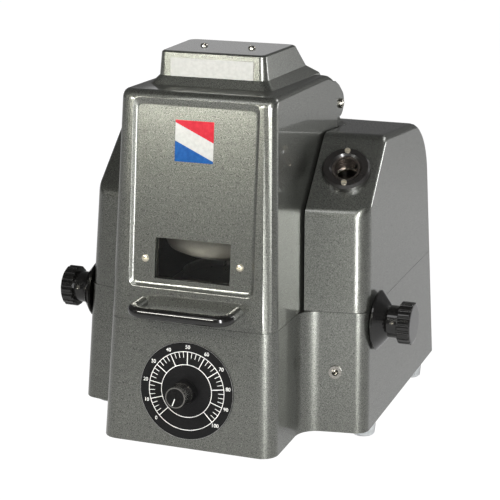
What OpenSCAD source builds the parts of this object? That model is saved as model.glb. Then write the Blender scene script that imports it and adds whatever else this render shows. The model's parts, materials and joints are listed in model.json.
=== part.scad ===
/* [Base casting] */
// Width of the front column at the bottom edge
column_w = 178; // [168:1:188]
// Width over the two wings at the bottom edge
wing_w = 304; // [290:1:330]
// Depth of the body at the bottom edge
body_depth = 369; // [355:1:390]
// Distance from the column front to the outer front corner of a wing
wing_setback = 95; // [88:1:104]
// Sweep angle of the wing fronts
wing_sweep = 10; // [6:1:14]
// Height of the parting plane above the bottom edge
part_h = 119.5; // [112:0.5:130]
// Wall thickness of the castings
wall = 4; // [3:0.5:5]
// Radius of the rear upright edges and of the slanted edges of the wings
edge_r = 7; // [5:0.5:9]
// Radius of the upright front edges of the wings
wing_r = 14; // [10:0.5:16]
// Radius of the upright front edges of the column
column_r = 16; // [10:0.5:18]
// Radius of the upright front edges of the hood at its top
hood_r = 10; // [8:0.5:12]
// Radius of the hollow fillet between column and wing
fillet_r = 22; // [14:1:26]

/* [Cover casting] */
// Height of the cover top above the bottom edge, at its front edge
cover_h = 280.5; // [272:0.5:290]
// Angle of the slanted reading face
slant_angle = 44; // [40:1:48]
// Height at which the slanted face meets the wing front
knee_h = 216; // [208:1:224]
// Radius of the rounded rear of the cover
rear_r = 66; // [50:1:80]
// Gap between the hood side and the bay of the cover
bay_gap = 2.4; // [1.5:0.1:4]

/* [Lamp hood] */
// Height of the hood top above the bottom edge
hood_h = 337; // [330:0.5:345]
// Distance from the column front to the rear edge of the hood
hood_depth = 221; // [214:1:226]
// Height of the cap above the hood top
cap_h = 31; // [26:1:36]
// Width of the cap
cap_w = 106; // [96:1:110]
// Sideways place of the cap and the lamp
cap_x = -2.5; // [-4:0.5:4]
// Depth of the recessed front panel
panel_depth = 3.2; // [2:0.1:3.4]
// Width of the recessed front panel
panel_w = 119; // [110:1:122]
// Width of the window
window_w = 76; // [60:1:84]
// Height of the window
window_h = 39; // [30:1:44]
// Height of the lower window edge above the bottom edge
window_z = 161; // [158:0.5:168]
// Distance from the column front to the hinge axis
hinge_y = 236; // [232:0.5:240]
// Height of the hinge axis above the bottom edge
hinge_z = 299; // [296:0.5:302]
// Radius of the hinge screws
hinge_r = 3; // [2.5:0.1:3.5]

/* [Handle] */
// Distance between the two legs of the handle
handle_pitch = 96; // [84:1:104]
// Thickness of the handle bar
handle_d = 11; // [9:0.5:12]
// Distance from the hood front to the bar axis
handle_reach = 31; // [26:1:36]
// Height of the handle above the bottom edge
handle_z = 137; // [134:0.5:139]

/* [Lamp and pan] */
// Distance from the column front to the lamp axis
lamp_y = 122; // [118:1:126]
// Diameter of the lamp bulb
bulb_d = 122; // [110:1:125]
// Height of the lowest point of the lamp
bulb_z = 160; // [159:0.5:170]
// Diameter of the sample pan
pan_d = 95; // [85:1:105]
// Height of the sample pan rim
pan_h = 10; // [8:0.5:12]
// Height of the pan support above the top of the base
pan_rise = 14.5; // [12:0.5:16]

/* [Regulator dial] */
// Diameter of the dial plate
dial_d = 95; // [85:1:100]
// Height of the dial centre above the bottom edge
dial_z = 56.5; // [52:0.5:62]
// Length of the regulator knob
dial_knob_l = 25; // [20:1:30]
// Radius of the regulator shaft
reg_shaft_r = 3; // [2.5:0.1:3.5]

/* [Side knobs] */
// Distance from the column front to the side knob axis
knob_y = 135; // [132:1:138]
// Depth of the side knob axis below the top of the base
knob_drop = 14; // [13.5:0.5:21]
// Diameter of the knob skirt
skirt_d = 59; // [50:1:62]
// Diameter of the fluted knob wheel
wheel_d = 42; // [38:1:46]
// Length of a side knob
side_knob_l = 37.5; // [34:0.5:42]
// Number of flutes on a knob wheel
flutes = 18; // [16:1:30]
// Radius of the knob shafts
shaft_r = 3; // [2.5:0.1:3.5]

/* [Movement] */
// Distance from the slanted face to the torsion axis along the line of sight
sight_l = 135; // [134:1:139]
// Teeth of the large gear
gear_teeth = 80; // [72:1:84]
// Teeth of the pinion
pinion_teeth = 20; // [18:1:24]
// Width of the gears
gear_w = 6; // [4:0.5:7]
// Play between the teeth, measured along the pitch circle
tooth_play = 0.5; // [0.3:0.05:0.8]
// Radius of the scale drum
drum_r = 52; // [46:1:54]
// Width of the scale drum
drum_w = 26; // [20:1:27]
// Radius of the drum and anchor shafts
axis_r = 4; // [3.5:0.1:5]
// Diameter of the torsion wire
wire_d = 0.8; // [0.6:0.1:1.2]
// Length of the counterweight
weight_l = 34; // [28:1:38]
// Radius of the counterweight
weight_r = 8.3; // [7:0.1:12]

/* [Eyepiece and socket] */
// Sideways distance of the eyepiece from the middle
eye_x = 112.5; // [108:0.5:114]
// Distance of the eyepiece centre behind the column front
eye_y = 143.5; // [140:0.5:147]
// Diameter of the eyepiece ring
eye_d = 47; // [42:1:50]
// Diameter of the eyepiece tube
tube_d = 27.6; // [24:0.2:29]
// Length of the eyepiece tube inside the body
tube_l = 45; // [35:1:50]
// Diameter of the check socket ring
socket_d = 12.7; // [11:0.1:15]
// Height of the check socket above the bottom edge
socket_z = 60.5; // [55:0.5:66]

/* [Feet] */
// Height of the feet
foot_h = 13; // [10:0.5:16]
// Diameter of the feet
foot_d = 25; // [20:1:27]

/* [Hidden] */
$fn = 64;

// Clearances: seam between castings, running fit of a shaft, seat of a fixed piece
seam = 0.15;
run = 0.06;
seat = 0.03;
// Drafts of the castings in mm per mm of height
column_draft = 0.039;
hood_draft = 0.034;
wing_draft = 0.038;
front_lean = 0.10;
wing_lean = 0.089;
rear_lean = 0.088;
hood_slope = 0.016;
cover_slope = 0.077;

knob_z = part_h - knob_drop;
support_z = part_h + pan_rise;

// Half widths and edge positions of the castings as functions of the height
function column_x(z) = column_w / 2 - column_draft * min(z, part_h) - hood_draft * max(z - part_h, 0);
function wing_x(z) = wing_w / 2 - wing_draft * z;
function front_y(z) = front_lean * z;
function rear_y(z) = body_depth - rear_lean * z;
function wing_y(x, z) = wing_setback + wing_lean * z - (wing_x(z) - x) * tan(wing_sweep);

// The slanted face goes through the knee of the outer wing edge
slant_y0 = wing_setback + wing_lean * knee_h;
slant_draft = 1 + wing_draft * tan(wing_sweep) * tan(slant_angle);
eye_z = (knee_h + (eye_y + (wing_w / 2 - eye_x) * tan(wing_sweep) - slant_y0) * tan(slant_angle))
    / slant_draft;
eye_tilt = atan(tan(slant_angle) / cos(wing_sweep) / slant_draft);
sight = [-sin(eye_tilt) * sin(wing_sweep), sin(eye_tilt) * cos(wing_sweep), -cos(eye_tilt)];
torsion = [0, eye_y + sight_l * sight[1], eye_z + sight_l * sight[2]];
mesh_y = torsion[1] - knob_y;
mesh_z = torsion[2] - knob_z;
centre_l = sqrt(mesh_y * mesh_y + mesh_z * mesh_z);
gear_module = 2 * centre_l / (gear_teeth + pinion_teeth);
mesh_angle = atan2(mesh_z, mesh_y);

// Sideways stations of the movement
knob_x = wing_x(knob_z);
bush_x = knob_x - wall - 5;
gear_x1 = bush_x - 8;
gear_x0 = gear_x1 - gear_w;
bracket_t = 3;
bracket_x1 = gear_x1 + 3 + bracket_t;
drum_x1 = gear_x0 - 4;
drum_x0 = drum_x1 - drum_w;
bracket_x0 = drum_x0 - bracket_t - 1;
axis_x0 = bracket_x0 - 3;
axis_x1 = bracket_x1 + 4;

// Chamber deck inside the column
deck_x = column_x(part_h) + 1;
deck_in = deck_x - 9;
bay_rear = hood_depth + 3;
deck_rear = bay_rear + wall;
floor_t = 1.5;
floor_z = part_h - 3.5;
plate_t = 2;
bottom_plan_gap = 0.3;

// Hood faces
dial_n = [0, -1, front_lean] / sqrt(1 + front_lean * front_lean);
lean_angle = atan(front_lean);
hood_z0 = part_h + seam;
function hood_top_z(y) = hood_h - hood_slope * (y - 45);
cap_top = hood_h + cap_h;
cap_y0 = lamp_y - 43;
cap_y1 = lamp_y + 42;
panel_z0 = part_h + 30;
panel_z1 = hood_h - 5.5;
screw_x = (panel_w + window_w) / 4 - 1;
screw_z = window_z + window_h / 2 - 1.5;
handle_bar_y = front_y(handle_z) - handle_reach;
ear_t = 4;
ear_x1 = column_x(hinge_z) - 1.5;
ear_x0 = ear_x1 - ear_t;
tower_x = ear_x0 - 0.4;
ear_r = 13.5;
tower_r = 13;

reg_k0 = 4.2;
barrel_r = 10;
rear_z = 45;
fuse_l = 9;
fuse_r = 6;

// Frame: origin under the middle of the body, at the bottom of the feet
y_front = front_y(dial_z) - (reg_k0 + dial_knob_l) * cos(lean_angle) - barrel_r * sin(lean_angle);
y_rear = rear_y(rear_z) + fuse_l * cos(atan(rear_lean)) + fuse_r * sin(atan(rear_lean));
y_mid = (y_front + y_rear) / 2;

function unit(v) = v / norm(v);
function turn(a) = a > 180 ? a - 360 : a < -180 ? a + 360 : a;
// Points of a corner at p1 rounded with radius r in n steps
function corner(p0, p1, p2, r, n) = n == 0 ? [p1] :
  let (d1 = unit(p0 - p1), d2 = unit(p2 - p1), h = acos(d1 * d2) / 2, t = r / tan(h),
    c = p1 + unit(d1 + d2) * r / sin(h), s = p1 + d1 * t - c, e = p1 + d2 * t - c,
    a = atan2(s[1], s[0]), w = turn(atan2(e[1], e[0]) - a))
  [for (i = [0:n]) c + r * [cos(a + w * i / n), sin(a + w * i / n)]];
// Outline through corners given as [point, radius, steps]
function outline(q) = [for (i = [0:len(q) - 1])
  each corner(q[(i + len(q) - 1) % len(q)][0], q[i][0], q[(i + 1) % len(q)][0], q[i][1], q[i][2])];
function meet(p, d, q, e) = let (k = d[0] * e[1] - d[1] * e[0], w = q - p)
  p + d * (w[0] * e[1] - w[1] * e[0]) / k;

// Closed skin over rings of equal length; strips close symmetric ends, fans convex ends
module skin(rings, strips = false) {
  n = len(rings[0]);
  m = len(rings);
  points = [for (r = rings) each r];
  sides = [for (k = [0:m - 2], i = [0:n - 1])
    each [[k * n + i, (k + 1) * n + i, (k + 1) * n + (i + 1) % n],
      [k * n + i, (k + 1) * n + (i + 1) % n, k * n + (i + 1) % n]]];
  low = strips
    ? [for (i = [0:n / 2 - 2]) each [[i, i + 1, n - 2 - i], [i, n - 2 - i, n - 1 - i]]]
    : [for (i = [1:n - 2]) [0, i, i + 1]];
  high = [for (f = low) [(m - 1) * n + f[2], (m - 1) * n + f[1], (m - 1) * n + f[0]]];
  polyhedron(points, concat(sides, low, high), convexity = 8);
}
function at_z(pts, z) = [for (p = pts) [p[0], p[1], z]];
function mirrored(h) = concat(h, [for (i = [len(h) - 1:-1:0]) [-h[i][0], h[i][1]]]);

module place() translate([0, -y_mid, foot_h]) children();
module both() {
  children();
  mirror([1, 0, 0]) children();
}
// Cylinder along X from x0 to x1
module rod(x0, x1, r) translate([x0, 0, 0]) rotate([0, 90, 0]) cylinder(r = r, h = x1 - x0);
// Square plate centred on X and Y
module slab(x, y, z0, z1) translate([-x / 2, -y / 2, z0]) cube([x, y, z1 - z0]);

// Plan of the base at height z, drawn in by t
function base_plan(z, t) = let (xc = column_x(z) - t, xw = wing_x(z) - t, yf = front_y(z) + t,
    yr = rear_y(z) - t, ti = t / cos(wing_sweep))
  outline([[[xc, yf], column_r - t, 7], [[xc, wing_y(xc, z) + ti], fillet_r + t, 6],
    [[xw, wing_y(xw, z) + ti], wing_r - t, 6], [[xw, yr], edge_r - t, 4],
    [[-xw, yr], edge_r - t, 4], [[-xw, wing_y(xw, z) + ti], wing_r - t, 6],
    [[-xc, wing_y(xc, z) + ti], fillet_r + t, 6], [[-xc, yf], column_r - t, 7]]);

module base_solid(z0, z1, t) skin([at_z(base_plan(z0, t), z0), at_z(base_plan(z1, t), z1)], true);

// Pillars: free points for the bottom screws, and the foot points; a rib ties each to its wall
boss_r = 6;
boss_pts = [[column_w / 2 - wall - 12, wall + 12], [wing_w / 4, body_depth - wall - 14]];
pillar_h = 30;
foot_x = wing_w / 2 - foot_d / 2;
foot_y0 = wing_setback + 22 + foot_d / 2;
foot_y1 = body_depth - 45 - foot_d / 2;
function foot_pts() = [for (x = [-1, 1], y = [foot_y0, foot_y1]) [x * foot_x, y]];
module pillars() {
  for (p = boss_pts) both() translate([p[0], p[1], plate_t]) cylinder(r = boss_r, h = pillar_h);
  for (p = foot_pts()) translate([p[0], p[1], plate_t]) cylinder(r = boss_r, h = pillar_h);
  for (y = [foot_y0, foot_y1]) both() translate([foot_x, y - 1.5, plate_t]) cube([foot_d, 3, pillar_h]);
  both() translate([boss_pts[0][0], boss_pts[0][1] - 1.5, plate_t]) cube([foot_d, 3, pillar_h]);
  both() translate([boss_pts[1][0] - 1.5, boss_pts[1][1], plate_t]) cube([3, foot_d, pillar_h]);
}

// Lower casting: column and wings in one shell, with the chamber deck frame
module base_housing() color([0.36, 0.37, 0.35]) place() difference() {
  union() {
    difference() {
      base_solid(0, part_h - seam, 0);
      base_solid(-0.5, part_h + 1, wall);
    }
    // Frame that carries the chamber floor
    difference() {
      intersection() {
        translate([-deck_x, wall / 2, part_h - 24]) cube([deck_x * 2, deck_rear - wall / 2, 24 - seam]);
        base_solid(0, part_h - seam, wall / 2);
      }
      translate([-deck_in, 20, 0]) cube([deck_in * 2, bay_rear - 26, part_h + 1]);
    }
    intersection() {
      pillars();
      base_solid(0, part_h - seam, wall / 2);
    }
    // Pads inside the side walls for the shaft bushes
    both() intersection() {
      translate([0, knob_y, knob_z]) rod(bush_x, knob_x, 12);
      base_solid(0, part_h - seam, wall / 2);
    }
    // Pad behind the dial
    intersection() {
      translate([0, front_y(dial_z), dial_z]) rotate([90 - lean_angle, 0, 0])
          translate([0, 0, -wall - 4]) cylinder(r = 24, h = 8);
      base_solid(0, part_h - seam, wall / 2);
    }
  }
  // Recess for the chamber floor
  translate([-deck_in - 4, 14, floor_z]) cube([deck_in * 2 + 8, bay_rear - 16, part_h]);
  // Holes for the bushes, regulator, check socket, inlet and fuse holder
  both() translate([0, knob_y, knob_z]) rod(bush_x - 1, knob_x + 2, 5 + seat);
  dial_frame() translate([0, 0, -30]) cylinder(r = 5 + seat, h = 40);
  socket_frame() translate([0, 0, -20]) cylinder(r = 4 + seat, h = 30);
  inlet_frame() translate([-14, -10, -20]) cube([28, 20, 40]);
  inlet_frame() for (s = [-1, 1]) translate([s * 20, 0, -20]) cylinder(r = 1.5, h = 40);
  fuse_frame() translate([0, 0, -20]) cylinder(r = 6.5 + seat, h = 40);
  for (p = boss_pts) both() translate([p[0], p[1], 0]) cylinder(r = 1.5, h = pillar_h - 4);
  for (p = foot_pts()) translate([p[0], p[1], 0]) cylinder(r = 1.5, h = pillar_h - 4);
  for (p = floor_pts()) translate([p[0], p[1], floor_z - 12]) cylinder(r = 1.25, h = 20);
  // Passage for the wires of the regulator
  translate([-10, bay_rear - 10, part_h - 26]) cube([20, 30, 12]);
}

// Frames on the outside of the walls: local +Z points out of the wall
module dial_frame() translate([0, front_y(dial_z), dial_z]) rotate([90 - lean_angle, 0, 0]) children();
socket_x = eye_x + 7;
module socket_frame() translate([socket_x, wing_y(socket_x, socket_z), socket_z])
  rotate([0, 0, wing_sweep]) rotate([90 - atan((wing_lean + wing_draft * tan(wing_sweep))
      * cos(wing_sweep)), 0, 0]) children();
inlet_x = -wing_w / 4;
fuse_x = -wing_w / 4 - 40;
module rear_frame(x) translate([x, rear_y(rear_z), rear_z]) rotate([atan(rear_lean) - 90, 0, 0])
    rotate([0, 0, 180]) children();
module inlet_frame() rear_frame(inlet_x) children();
module fuse_frame() rear_frame(fuse_x) children();
module eye_frame() translate([eye_x, eye_y, eye_z]) rotate([0, 0, wing_sweep]) rotate([eye_tilt, 0, 0])
    children();
function floor_pts() = [for (x = [-1, 1], y = [30, bay_rear - 12]) [x * (deck_in + 1.5), y]];

// Bottom plate inside the rim of the base, carried by the pillars
module bottom_plate() color([0.55, 0.56, 0.56]) place() difference() {
  linear_extrude(plate_t) polygon(base_plan(0, wall + bottom_plan_gap));
  for (p = boss_pts) both() translate([p[0], p[1], -1]) cylinder(r = 1.7, h = 4);
  for (p = foot_pts()) translate([p[0], p[1], -1]) cylinder(r = 1.5, h = 4);
  for (x = [-30:12:30], y = [200:40:280]) translate([x, y, -1]) slot_hole(16);
}
module slot_hole(l) linear_extrude(plate_t + 2) {
  translate([-2, -l / 2]) square([4, l]);
  translate([0, l / 2]) circle(r = 2);
  translate([0, -l / 2]) circle(r = 2);
}

module bottom_screws() color([0.75, 0.75, 0.72]) place() for (p = boss_pts) both()
    translate([p[0], p[1], 0]) {
  translate([0, 0, -2]) difference() {
    cylinder(r = 3, h = 2);
    translate([-4, -0.4, -1]) cube([8, 0.8, 1.8]);
  }
  cylinder(r = 1.5 - seat, h = pillar_h - 12);
}

module feet() color([0.86, 0.87, 0.87]) place() for (p = foot_pts()) translate([p[0], p[1], -foot_h])
  rotate_extrude() polygon([[1.6, 3], [4, 3], [4, 0], [foot_d / 2 - 2.5, 0], [foot_d / 2 - 1, 1.2],
      [foot_d / 2, foot_h - 0], [1.6, foot_h - 0]]);

module foot_screws() color([0.75, 0.75, 0.72]) place() for (p = foot_pts())
    translate([p[0], p[1], -foot_h]) {
  translate([0, 0, 1]) cylinder(r = 3, h = 2);
  translate([0, 0, 2.5]) cylinder(r = 1.5 - seat, h = foot_h + 12);
}

// Side outline of the cover at sideways station x, drawn in by tf in front and t elsewhere
function cover_side(x, tf, t, zb) = let (s = atan(wing_lean), q = atan(rear_lean), u = atan(cover_slope),
    f0 = [wing_setback - (wing_w / 2 - x) * tan(wing_sweep) + tf / cos(s), 0], fd = [wing_lean, 1],
    s0 = [slant_y0 - (wing_w / 2 - x) * tan(wing_sweep) + t * sin(slant_angle),
        knee_h - t * cos(slant_angle)], sd = [cos(slant_angle), sin(slant_angle)],
    t0 = [181.5, cover_h - t / cos(u)], td = [1, -cover_slope],
    r0 = [body_depth - t / cos(q), 0], rd = [-rear_lean, 1])
  outline([[f0 + fd * zb, 0, 0], [r0 + rd * zb, 0, 0], [meet(t0, td, r0, rd), rear_r - t, 12],
    [meet(s0, sd, t0, td), 18 - t, 5], [meet(f0, fd, s0, sd), 15 - t, 4]]);
function wing_section(x, tf, t, zb) = [for (p = cover_side(x, tf, t, zb))
    [x - wing_draft * p[1], p[0], p[1]]];
function wing_left(x, tf, t, zb) = [for (p = cover_side(x, tf, t, zb))
    [-x + wing_draft * p[1], p[0], p[1]]];
edge_steps = [for (a = [90:-15:0]) let (d = wing_r * (1 - sin(a))) [d, ease(d, wing_r), ease(d, edge_r)]];

module cover_solid() let (w = wing_w / 2, zb = part_h + seam) skin(concat(
  [for (e = edge_steps) wing_left(w - e[0], e[1], e[2], zb)],
  [wing_left(column_w / 2, 0, 0, zb), wing_section(column_w / 2, 0, 0, zb)],
  [for (i = [len(edge_steps) - 1:-1:0]) wing_section(w - edge_steps[i][0], edge_steps[i][1],
      edge_steps[i][2], zb)]));

module cover_hollow() let (w = wing_w / 2 - wall, zb = part_h - 1) skin([
  wing_left(w, wall + 6, wall + 3, zb), wing_left(w - 6, wall, wall, zb),
      wing_left(column_w / 2, wall, wall, zb),
  wing_section(column_w / 2, wall, wall, zb), wing_section(w - 6, wall, wall, zb),
      wing_section(w, wall + 6, wall + 3, zb)]);

// Bay for the hood, grown by t; its sides lean like the hood's
module bay(t) let (z0 = part_h - 5, z1 = cover_h + 20, h = column_x(part_h) + bay_gap + t)
  skin([for (z = [z0, z1]) at_z([[h - hood_draft * (z - part_h), 0],
      [h - hood_draft * (z - part_h), bay_rear + t],
    [-h + hood_draft * (z - part_h), bay_rear + t], [-h + hood_draft * (z - part_h), 0]], z)], true);

// Upper casting: two wings with slanted faces, the bay for the hood and the hinge tower
module rear_cover() color([0.36, 0.37, 0.35]) place() difference() {
  union() {
    difference() {
      cover_solid();
      difference() {
        cover_hollow();
        bay(wall);
      }
      bay(0);
    }
    tower();
  }
  translate([0, hinge_y, hinge_z]) both() rod(tower_x - 14, tower_x + 1, hinge_r + seat);
  eye_frame() translate([0, 0, -20]) cylinder(r = tube_d / 2 + 0.2, h = 40);
  eye_frame() for (s = [-1, 1]) translate([0, s * eye_pitch / 2, -10]) cylinder(r = 1.25, h = 20);
  // Slot for the beam
  translate([-8, bay_rear - 1, torsion[2] - 24]) cube([16, wall + 2, 36]);
}
eye_pitch = (eye_d + tube_d) / 2 - 0.5;

// Hinge tower between the ears of the hood, with a hollow fillet down to the cover
module tower() let (y0 = deck_rear - 1, top = cover_h - cover_slope * 40) {
  translate([-tower_x, 0, 0]) rotate([90, 0, 90]) linear_extrude(tower_x * 2) {
    translate([hinge_y, hinge_z]) circle(r = tower_r);
    translate([y0, top - 12]) square([hinge_y + tower_r - y0, hinge_z - top + 12]);
  }
  // Ledge behind the tower on which the open hood comes to rest
  translate([-tower_x + 12, hinge_y + tower_r - 1, hinge_z - 14]) cube([tower_x * 2 - 24, 14, 12.5]);
  translate([0, hinge_y + tower_r, 0]) rotate([90, 0, 0]) linear_extrude(hinge_y + tower_r - y0) both()
      difference() {
    translate([tower_x - 4, top - 10]) square([12, 16]);
    translate([tower_x + 8, top + 7]) circle(r = 8);
  }
}

// Sheet floor of the drying chamber
module chamber_floor() color([0.72, 0.73, 0.72]) place() difference() {
  translate([-deck_in - 3.7, 14.3, floor_z]) cube([deck_in * 2 + 7.4, bay_rear - 16.6, floor_t]);
  for (p = floor_pts()) translate([p[0], p[1], floor_z - 1]) cylinder(r = 1.7, h = 4);
  translate([0, lamp_y, floor_z - 1]) for (a = [0:30:330]) rotate([0, 0, a]) translate([36, 0, 0])
      cylinder(r = 3, h = 4);
}
module floor_screws() color([0.75, 0.75, 0.72]) place() for (p = floor_pts())
    translate([p[0], p[1], floor_z + floor_t]) {
  cylinder(r = 2.5, h = 1.6);
  translate([0, 0, -10]) cylinder(r = 1.25 - seat, h = 10.5);
}

// Dial plate, regulator with its bush through the wall, and its nut
module dial_plate() color([0.06, 0.06, 0.06]) place() dial_frame() difference() {
  cylinder(r = dial_d / 2, h = 1.2, $fn = 96);
  translate([0, 0, -1]) cylinder(r = 5 + seat, h = 4);
}
module regulator() color([0.3, 0.3, 0.3]) place() dial_frame() {
  difference() {
    union() {
      translate([0, 0, -wall - 34]) cylinder(r = 21, h = 30);
      translate([0, 0, -wall - 5]) cylinder(r = 5, h = wall + 5 + 3.9);
      translate([-9, -27, -wall - 26]) cube([18, 8, 14]);
    }
    translate([0, 0, -wall - 20]) cylinder(r = reg_shaft_r + run, h = 60);
  }
}
module regulator_nut() color([0.8, 0.8, 0.78]) place() dial_frame() translate([0, 0, 1.2]) difference() {
  cylinder(r = 7.5, h = 2.5, $fn = 6);
  translate([0, 0, -1]) cylinder(r = 5 + seat, h = 6);
}
module check_socket() color([0.8, 0.8, 0.77]) place() socket_frame() difference() {
  union() {
    cylinder(r = socket_d / 2, h = 2.4);
    translate([0, 0, -wall - 8]) cylinder(r = 4, h = wall + 8.5);
  }
  translate([0, 0, -wall - 6]) cylinder(r = 2.6, h = 40);
  translate([0, 0, 1.6]) cylinder(r1 = 2.6, r2 = 4, h = 1.4);
}

// Eyepiece on the slanted face
module eyepiece_ring() color([0.2, 0.2, 0.2]) place() eye_frame() difference() {
  rotate_extrude() polygon([[tube_d / 2 + seat, 0], [eye_d / 2, 0], [eye_d / 2, 6], [eye_d / 2 - 2, 9],
    [tube_d / 2 + 2, 9], [tube_d / 2 + seat, 7]]);
  for (s = [-1, 1]) translate([0, s * eye_pitch / 2, -1]) cylinder(r = 1.6, h = 20);
}
module eyepiece_screws() color([0.75, 0.75, 0.72]) place() eye_frame() for (s = [-1, 1])
    translate([0, s * eye_pitch / 2, 9]) {
  difference() {
    cylinder(r = 2.8, h = 1.8);
    translate([-4, -0.4, 1]) cube([8, 0.8, 2]);
  }
  translate([0, 0, -14]) cylinder(r = 1.25 - seat, h = 14.5);
}
module eyepiece_tube() color([0.35, 0.28, 0.22]) place() eye_frame() difference() {
  translate([0, 0, -tube_l]) cylinder(r = tube_d / 2, h = tube_l + 6);
  translate([0, 0, -tube_l - 1]) cylinder(r = tube_d / 2 - 3.5, h = tube_l + 10);
  translate([0, 0, -12]) cylinder(r = tube_d / 2 - 2, h = 30);
  for (k = [0:4]) translate([0, 0, -9 + k * 3]) cylinder(r = tube_d / 2 - 1.4, h = 1.5);
}
module eyepiece_lens() color([0.8, 0.9, 0.95, 0.4]) place() eye_frame() translate([0, 0, -12])
    intersection() {
  cylinder(r = tube_d / 2 - 2 - seat, h = 2.8);
  translate([0, 0, -56.5]) sphere(r = 60, $fn = 96);
}

// Bushes that carry the side knob shafts
module shaft_bushes() color([0.78, 0.66, 0.38]) place() translate([0, knob_y, knob_z]) both() difference() {
  union() {
    rod(bush_x - 3, bush_x, 9);
    rod(bush_x - 1, knob_x + 0.6, 5);
  }
  rod(bush_x - 5, knob_x + 5, shaft_r + run);
}

// Side knob by revolution: skirt, cone, barrel and fluted wheel
module side_knob() {
  k0 = knob_x + 1.5;
  translate([k0, knob_y, knob_z]) rotate([0, 90, 0]) difference() {
    rotate_extrude($fn = 96) polygon([[shaft_r + seat, 0], [skirt_d / 2 - 1.5, 0], [skirt_d / 2, 1.2],
        [skirt_d / 2, 2.6],
      [wheel_d / 2 - 3, 12], [wheel_d / 2 - 5, 13.5], [wheel_d / 2 - 5, side_knob_l - 13.8],
      [wheel_d / 2 - 1, side_knob_l - 13.3], [wheel_d / 2, side_knob_l - 12.3],
          [wheel_d / 2, side_knob_l - 1.5],
      [wheel_d / 2 - 1.5, side_knob_l - 0.4], [wheel_d / 2 - 3, side_knob_l], [0, side_knob_l],
          [0, side_knob_l - 4.3],
      [shaft_r + seat, side_knob_l - 4.3]]);
    for (i = [0:flutes - 1]) rotate([0, 0, i * 360 / flutes])
        translate([wheel_d / 2 + 0.8, 0, side_knob_l - 13.6])
      cylinder(r = 2.5, h = 20, $fn = 24);
    translate([0, 0, side_knob_l - 18.5]) rotate([0, 90, 258]) cylinder(r = 2 + seat, h = 60);
  }
}
module knob_set_screw() translate([knob_x + 1.5 + side_knob_l - 18.5, knob_y, knob_z])
    rotate([78, 0, 0]) difference() {
  translate([0, 0, shaft_r + 0.05]) cylinder(r = 2, h = wheel_d / 2 - 5.6 - shaft_r);
  translate([-3, -0.35, wheel_d / 2 - 7]) cube([6, 0.7, 4]);
}
module knob_shaft() translate([0, knob_y, knob_z])
    rod(gear_x0 - 2, knob_x + 1.5 + side_knob_l - 4.5, shaft_r);

// Involute gear outline
function flank(r, rb) = r <= rb ? 0 : let (a = acos(rb / r)) tan(a) * 180 / PI - a;
function tooth(n, m, play) = let (rp = n * m / 2, rb = rp * cos(20), rt = rp + m * 0.95, rr = rp - m * 1.2,
    hp = 90 / n - play / 2 / rp * 90 / PI + flank(rp, rb))
  concat([for (r = [rr, max(rb, rr + 0.01), rp, (rp + rt) / 2, rt]) [r, -(hp - flank(r, rb))]],
    [for (r = [rt, (rp + rt) / 2, rp, max(rb, rr + 0.01), rr]) [r, hp - flank(r, rb)]]);
module gear_plate(n, m, play, count = 0) polygon([for (k = [0:n - 1]) for (p = tooth(n, m, play))
  p[0] * [cos(p[1] + k * 360 / n), sin(p[1] + k * 360 / n)]]);
// The sight along +X of a gear plane: local x is body y, local y is body z
module on_axis(x) translate([x, 0, 0]) rotate([90, 0, 90]) children();
module pinion() translate([0, knob_y, knob_z]) {
  difference() {
    union() {
      on_axis(gear_x0 - 0.5) linear_extrude(gear_w + 1)
        rotate(mesh_angle + 180 / pinion_teeth) gear_plate(pinion_teeth, gear_module, tooth_play);
      rod(gear_x1, bush_x - 3.3, 8);
    }
    rod(gear_x0 - 5, bush_x, shaft_r + seat);
  }
}
module scale_knob() color([0.07, 0.07, 0.07]) place() side_knob();
module scale_shaft() color([0.75, 0.75, 0.74]) place() knob_shaft();
module scale_pinion() color([0.78, 0.66, 0.38]) place() pinion();
module scale_set_screw() color([0.75, 0.75, 0.74]) place() knob_set_screw();
module zero_knob() color([0.07, 0.07, 0.07]) place() mirror([1, 0, 0]) side_knob();
module zero_shaft() color([0.75, 0.75, 0.74]) place() mirror([1, 0, 0]) knob_shaft();
module zero_pinion() color([0.78, 0.66, 0.38]) place() mirror([1, 0, 0]) pinion();
module zero_set_screw() color([0.75, 0.75, 0.74]) place() mirror([1, 0, 0]) knob_set_screw();

// Large gear with spokes; the torsion axis carries it
gear_root = gear_teeth * gear_module / 2 - gear_module * 1.2;
module big_gear() translate(torsion) difference() {
  union() {
    on_axis(gear_x0) linear_extrude(gear_w) difference() {
      rotate(mesh_angle + 180) gear_plate(gear_teeth, gear_module, tooth_play);
      difference() {
        circle(r = gear_root - 6);
        circle(r = 18);
        for (a = [0:60:300]) rotate(a) translate([0, -4.5]) square([gear_root, 9]);
      }
    }
    rod(gear_x0 - 2, gear_x1 + 2, 10);
  }
  rod(gear_x0 - 5, gear_x1 + 5, axis_r + seat);
}
module drum_gear() color([0.78, 0.66, 0.38]) place() big_gear();
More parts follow.
